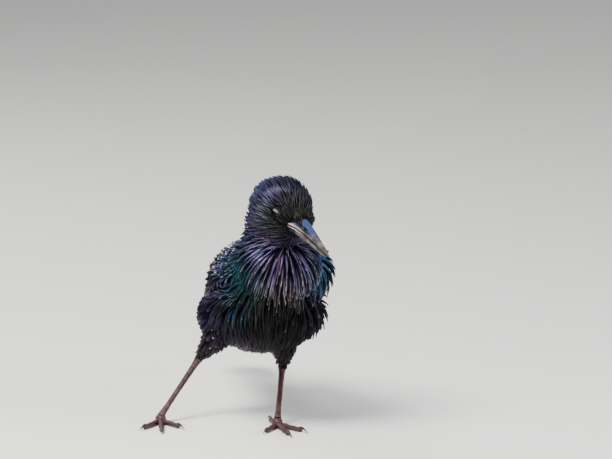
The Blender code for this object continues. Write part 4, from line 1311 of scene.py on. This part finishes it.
def readMesh(mesh):
    # points in the modelling frame, normals and triangles
    points, normals = np.zeros(len(mesh.vertices) * 3), np.zeros(len(mesh.vertices) * 3)
    mesh.vertices.foreach_get("co", points)
    mesh.vertex_normals.foreach_get("vector", normals)
    mesh.calc_loop_triangles()
    corners = np.zeros(len(mesh.loop_triangles) * 3, np.int32)
    mesh.loop_triangles.foreach_get("vertices", corners)
    return through(toModel, points.reshape(-1, 3)), normals.reshape(-1, 3), corners.reshape(-1, 3)


def coatedLid(onEye):
    # where short feathers grow on a lid: its outside, but for the bare almond round the slit
    long, tall = eye["bareLid"]
    outer = np.linalg.norm(onEye, axis=1) > eye["lidRadius"] + eye["lidThick"] * 0.6
    return outer & (onEye[:, 0] > 1.2) & ((onEye[:, 1] / long) ** 2 + (onEye[:, 2] / tall) ** 2 > 1)


def skinTables():
    # the skin, the outer faces of the lids and the bill's coated base, with the skin's own unwrap
    editing(skin)
    bpy.ops.uv.smart_project(angle_limit=math.radians(66), island_margin=0.004)
    bpy.ops.object.mode_set(mode="OBJECT")
    skin.data.uv_layers[0].name = "OFBake"
    mesh = skin.data
    points, normals, corners = readMesh(mesh)
    loops = np.zeros(len(mesh.loop_triangles) * 3, np.int32)
    mesh.loop_triangles.foreach_get("loops", loops)
    spots = np.zeros(len(mesh.loops) * 2)
    mesh.uv_layers[0].uv.foreach_get("vector", spots)
    spots = spots.reshape(-1, 2)[loops.reshape(-1, 3)]
    tree = BVHTree.FromPolygons(points.tolist(), corners.tolist())
    rooted = [(horn, upper, None) for upper, horn in horns.items()]
    rooted += [(lid, None, side) for side, word in bothHands for lid in lids[word]]
    for part, upper, side in rooted:
        morePoints, moreNormals, moreCorners = readMesh(part.data)
        if side is None:
            coated = coatedBill(through(toHead, morePoints), upper)
        else:
            coated = coatedLid(through(eyeFrameOf(side).inverted(), morePoints))
        moreCorners = moreCorners[coated[moreCorners].all(1)]
        near = [tree.find_nearest(p.tolist())[2] for p in morePoints[moreCorners].mean(1)]
        corners = np.concatenate([corners, moreCorners + len(points)])
        points, normals = np.concatenate([points, morePoints]), np.concatenate([normals, moreNormals])
        spots = np.concatenate([spots, spots[near]])
    return points, normals, corners, spots


skinPoints, skinNormals, skinCorners, skinSpots = skinTables()
skinTree = BVHTree.FromPolygons(skinPoints.tolist(), skinCorners.tolist())


def onSkin(rows):
    # nearest place on the skin for each row, with a softly blended normal
    spots, _, faces, _ = zip(*(skinTree.find_nearest(row) for row in rows.tolist()))
    return asArray(spots), unit(skinNormals[skinCorners[list(faces)]].mean(1))


def chooseRoots():
    corners = skinPoints[skinCorners]
    areas = np.linalg.norm(np.cross(corners[:, 1] - corners[:, 0], corners[:, 2] - corners[:, 0]), axis=1)
    odds = areas / (patchShares(corners.mean(1)) @ patchShapes[:, 2]) ** 2
    faces = draws.choice(len(areas), coat["tries"], p=odds / odds.sum())
    a, b = draws.random(coat["tries"]), draws.random(coat["tries"])
    over = a + b > 1
    a[over], b[over] = 1 - a[over], 1 - b[over]
    weights = np.stack([1 - a - b, a, b], axis=1)
    rows = (corners[faces] * weights[:, :, None]).sum(1)
    normals = unit((skinNormals[skinCorners[faces]] * weights[:, :, None]).sum(1))
    marks = (skinSpots[faces] * weights[:, :, None]).sum(1)
    shares = patchShares(rows)
    spacing = shares @ patchShapes[:, 2]
    keep = clearOfParts(rows, normals, faces >= len(skin.data.loop_triangles))
    rows, normals, marks, spacing = rows[keep], normals[keep], marks[keep], spacing[keep]
    grid, taken = {}, []
    cells = np.floor(rows / coat["cell"]).astype(int)
    for i, (row, cell, gap) in enumerate(zip(rows.tolist(), cells.tolist(), spacing.tolist())):
        reach = int(gap // coat["cell"]) + 1
        spans = (range(c - reach, c + reach + 1) for c in cell)
        near = (other for place in product(*spans) for other in grid.get(place, ()))
        if not any(sum((p - q) ** 2 for p, q in zip(row, other)) < gap * gap for other in near):
            grid.setdefault(tuple(cell), []).append(row)
            taken.append(i)
    return rows[taken], normals[taken], marks[taken]


def clearOfParts(rows, normals, added):
    # no roots under the folded wings, in the eyes, or on skin inside the bill
    keep = np.ones(len(rows), bool)
    onHead = through(toHead, rows)
    for side in (1, -1):
        keep &= np.linalg.norm(onHead - eyeCentre(side), axis=1) > coat["eyeClear"]
    aside, forward, height = onHead[:, 0], -onHead[:, 1], onHead[:, 2]
    wide, mouth, top, low = billRow(forward)
    section = np.maximum(0, 1 - (aside / wide) ** 2) ** (coat["billArch"] / 2)
    above = height < mouth + (top - mouth) * section + coat["billClear"]
    below = height > mouth - (mouth - low) * section - coat["billClear"]
    keep &= added | ~((forward > 8) & (section > 0) & above & below)
    for made in wings.values():
        points = readMesh(made.data)[0]
        tree = BVHTree.FromPolygons(points.tolist(), [tuple(f.vertices) for f in made.data.polygons])
        low, high = points.min(0) - 3, points.max(0) + 3
        for i in np.nonzero(((rows > low) & (rows < high)).all(1) & keep)[0]:
            out = Vector(normals[i])
            keep[i] = tree.ray_cast(Vector(rows[i]) - out * 0.6, out, coat["wingClear"])[0] is None
    return keep


def laidOn(ways, normals):
    return unit(ways - normals * (ways * normals).sum(1, keepdims=True))


def growFeathers(rows, normals):
    # walks each feather over the skin from its root and returns its stations
    shares = patchShares(rows)
    shapes = shares @ patchShapes
    looks = patchShares(rows + draws.normal(0, coat["mingle"], rows.shape)) @ patchLooks
    count = len(rows)
    length = shapes[:, 0] * draws.uniform(*coat["lengths"], count)
    width = shapes[:, 1] * draws.uniform(*coat["widths"], count)
    lift = shapes[:, 3] * draws.uniform(*coat["lifts"], count)
    stray = np.array([noise.noise(Vector(row) / coat["clump"][0]) for row in rows.tolist()])
    swing = np.radians(shapes[:, 6]) * (draws.normal(0, 1, count) + stray * coat["clump"][1])
    way = laidOn(lieOf(rows, shares), normals)
    side = np.cross(way, normals)
    way = unit(way * np.cos(swing)[:, None] + side * np.sin(swing)[:, None])
    here, facing, done = rows.copy(), normals.copy(), 0.0
    sink = np.clip(length * coat["sink"][0], *coat["sink"][1:])
    middles, sides, ups, marks = [], [], [], []
    for station in coat["stations"]:
        if station > 0:
            step = (station - done) * length
            flow = laidOn(lieOf(here, patchShares(here)), facing)
            way = unit(way * (1 - coat["turnEase"]) + flow * coat["turnEase"])
            here, facing = onSkin(here + way * step[:, None])
            way = laidOn(way, facing)
            done = station
        height = -sink + (lift + sink) * station ** 0.85
        middles.append(here + facing * height[:, None])
        sides.append(unit(np.cross(way, facing)))
        ups.append(facing)
    return {
        "middles": np.stack(middles, 1), "sides": np.stack(sides, 1), "ups": np.stack(ups, 1),
        "width": width, "shapes": shapes, "looks": looks, "shares": shares,
    }


def plumes(name, grown, spots, chosen):
    # closed three-sided blades for the chosen feathers, joined as one mesh
    stations = np.array(coat["stations"])
    keys = ("middles", "sides", "ups", "width", "shapes", "looks")
    middles, sides, ups, width, shapes, looks = (grown[key][chosen] for key in keys)
    count, rings = len(width), len(stations) - 1
    point, arch = shapes[:, 4:5], shapes[:, 5:6]
    outline = np.array(coat["pointed"]) * point + np.array(coat["rounded"]) * (1 - point)
    half = (width[:, None] * outline / 2)[:, :, None]
    spine, aside, up = middles[:, :rings], sides[:, :rings] * half, ups[:, :rings]
    droop = up * (arch[:, :, None] * half)
    ridge = spine + up * (coat["ridge"] * width[:, None, None] * 0.5)
    body = np.stack([spine - aside - droop, ridge, spine + aside - droop], 2).reshape(count, rings * 3, 3)
    points = np.concatenate([body, middles[:, rings:]], 1)
    perFeather = rings * 3 + 1
    quads, tris = [], [(0, 2, 1)]
    for j in range(rings - 1):
        a, b = 3 * j, 3 * j + 3
        quads += [(a, a + 1, b + 1, b), (a + 1, a + 2, b + 2, b + 1), (a + 2, a, b, b + 2)]
    last = 3 * (rings - 1)
    tip = perFeather - 1
    tris += [(last, last + 1, tip), (last + 1, last + 2, tip), (last + 2, last, tip)]
    offsets = (np.arange(count) * perFeather)[:, None, None]
    quads = (np.array(quads)[None] + offsets).reshape(-1, 4)
    tris = (np.array(tris)[None] + offsets).reshape(-1, 3)
    chance = draws.random(count)
    along = np.concatenate([np.repeat(stations[:rings], 3), [1.0]])
    across = np.concatenate([np.tile([-1.0, 0.0, 1.0], rings), [0.0]])
    vane = np.empty((count, perFeather, 3))
    vane[:, :, 0], vane[:, :, 1], vane[:, :, 2] = along, across, chance[:, None]
    tone = looks[:, :3] * np.exp(draws.normal(0, coat["toneSpread"], (count, 1)))
    tone = tone * draws.normal(1, coat["mixTone"], (count, 3))
    tipTone = looks[:, 3:6] * draws.uniform(*coat["tipTones"], (count, 1))
    # the first value of trim is the share of the painted highlight along the shaft
    trim = np.stack([looks[:, 8], looks[:, 6] + draws.normal(0, coat["tipShift"], count), looks[:, 7]], 1)

    def spread(rows):
        return np.repeat(np.clip(rows, 0, 1), perFeather, axis=0)

    values = {"tone": spread(tone), "tipTone": spread(tipTone), "trim": spread(trim)}
    values["vane"] = vane.reshape(-1, 3)
    made = meshOf(name, through(toRow, points.reshape(-1, 3)), [quads, tris], values)
    place = np.stack([across / 2, along - 0.5], 1) * coat["patchSize"]
    marks = (spots[chosen][:, None, :] + place[None]).reshape(-1, 2)
    layer = made.data.uv_layers.new(name="OFBake")
    corners = np.concatenate([quads.ravel(), tris.ravel()])
    layer.uv.foreach_set("vector", np.clip(marks[corners], 0, 1).astype(np.float32).ravel())
    made.data.set_sharp_from_angle(angle=math.radians(75))
    return made


rootRows, rootNormals, rootSpots = chooseRoots()
print("feathers", len(rootRows))
grown = growFeathers(rootRows, rootNormals)


def clearOfOpenings(rows):
    # drops feathers whose blade would lie over an open eye or the bare edge of the gape
    onHead = through(toHead, rows)
    first, last, half, inner = bill["gapeLine"]
    aside, forward, height = abs(onHead[..., 0]), -onHead[..., 1], onHead[..., 2]
    over = (forward > first) & (forward < last) & (aside > inner)
    keep = ~(over & (abs(height - billRow(forward)[1]) < half)).any(1)
    long, tall = coat["eyeOpening"]
    for side in (1, -1):
        onEye = through(eyeFrameOf(side).inverted(), rows)
        over = (onEye[..., 0] > 0) & ((onEye[..., 1] / long) ** 2 + (onEye[..., 2] / tall) ** 2 < 1)
        keep &= ~over.any(1)
    return keep


coatPieces = {
    # the kinds of feather in each piece
    "coat_head": ("plumage", "lash bristle face cheek crown tuft nape"),
    "coat_throat": ("throat", "hackle breast edge"),
    "coat_belly": ("plumage", "belly vent"),
    "coat_flanks": ("plumage", "flank thigh shin"),
    "coat_back": ("plumage", "covert mantle rump"),
}


def makeCoat():
    keep = clearOfOpenings(grown["middles"])
    main = grown["shares"].argmax(1)
    for name, (slotName, members) in coatPieces.items():
        members = [k for k, (kind, _, _) in enumerate(patchKinds) if kind in members.split()]
        wanted = np.isin(main, members) & keep
        made = plumes(name, grown, rootSpots, np.nonzero(wanted)[0])
        finished(made, plumageFinish)
        print(name, int(wanted.sum()), "feathers")


makeCoat()
finished(skin, skinFinish, ["head", "neck", "torso", "thigh_left", "thigh_right"])

# Floor, light and camera

stage = {
    "floor": (0.83, 0.82, 0.80), "backdrop": (0.92, 0.93, 0.95), "backdropStrength": 0.38,
    "target": (0, 8, 53.5), "across": 18.45, "up": 26.7, "azimuth": -10, "elevation": 10,
    "lens": 500, "sensor": 36, "width": 250.92,
    "lights": {
        # place, size, power, colour
        "key": ((-380, -420, 700), 320, 17, (1.0, 0.98, 0.94)),
        "fill": ((700, -500, 420), 500, 8, (0.93, 0.96, 1.0)),
        "rim": ((-300, 560, 560), 420, 4, (1.0, 0.99, 0.97)),
    },
}


def makeStage():
    startFresh()
    bpy.ops.mesh.primitive_plane_add(size=6)
    floor = newest("floor")
    paint = Finish("floorPaint", Roughness=0.85)
    speck = paint.noise(paint.place(), 60, 3)
    paint.set(Base_Color=paint.mixed(stage["floor"], (0.78, 0.775, 0.76), speck))
    floor.data.materials.append(paint.material)
    world = bpy.context.scene.world or bpy.data.worlds.new("studio")
    bpy.context.scene.world = world
    world.use_nodes = True
    background = world.node_tree.nodes["Background"]
    background.inputs["Color"].default_value = (*stage["backdrop"], 1)
    background.inputs["Strength"].default_value = stage["backdropStrength"]
    aim = toRow @ Vector(stage["target"])
    for name, (place, size, power, colour) in stage["lights"].items():
        startFresh()
        bpy.ops.object.light_add(type="AREA", location=Vector(place) * mm)
        lamp = newest(name)
        lamp.data.size = size * mm
        lamp.data.energy = power
        lamp.data.color = colour
        lamp.rotation_euler = (aim - lamp.location).to_track_quat("-Z", "Y").to_euler()


def makeCamera():
    azimuth, elevation = (math.radians(stage[k]) for k in ("azimuth", "elevation"))
    right = Vector((math.cos(azimuth), math.sin(azimuth), 0))
    level = math.cos(elevation)
    back = Vector((math.sin(azimuth) * level, -math.cos(azimuth) * level, math.sin(elevation)))
    up = back.cross(right)
    aim = toRow @ (Vector(stage["target"]) + right * stage["across"] + up * stage["up"])
    distance = stage["width"] * stage["lens"] / stage["sensor"] * mm
    bpy.ops.object.camera_add(location=aim + back * distance)
    camera = bpy.context.object
    camera.rotation_euler = back.to_track_quat("Z", "Y").to_euler()
    camera.data.lens = stage["lens"]
    camera.data.sensor_width = stage["sensor"]
    camera.data.clip_end = 20
    bpy.context.scene.camera = camera


makeStage()
makeCamera()
print("stage ready")
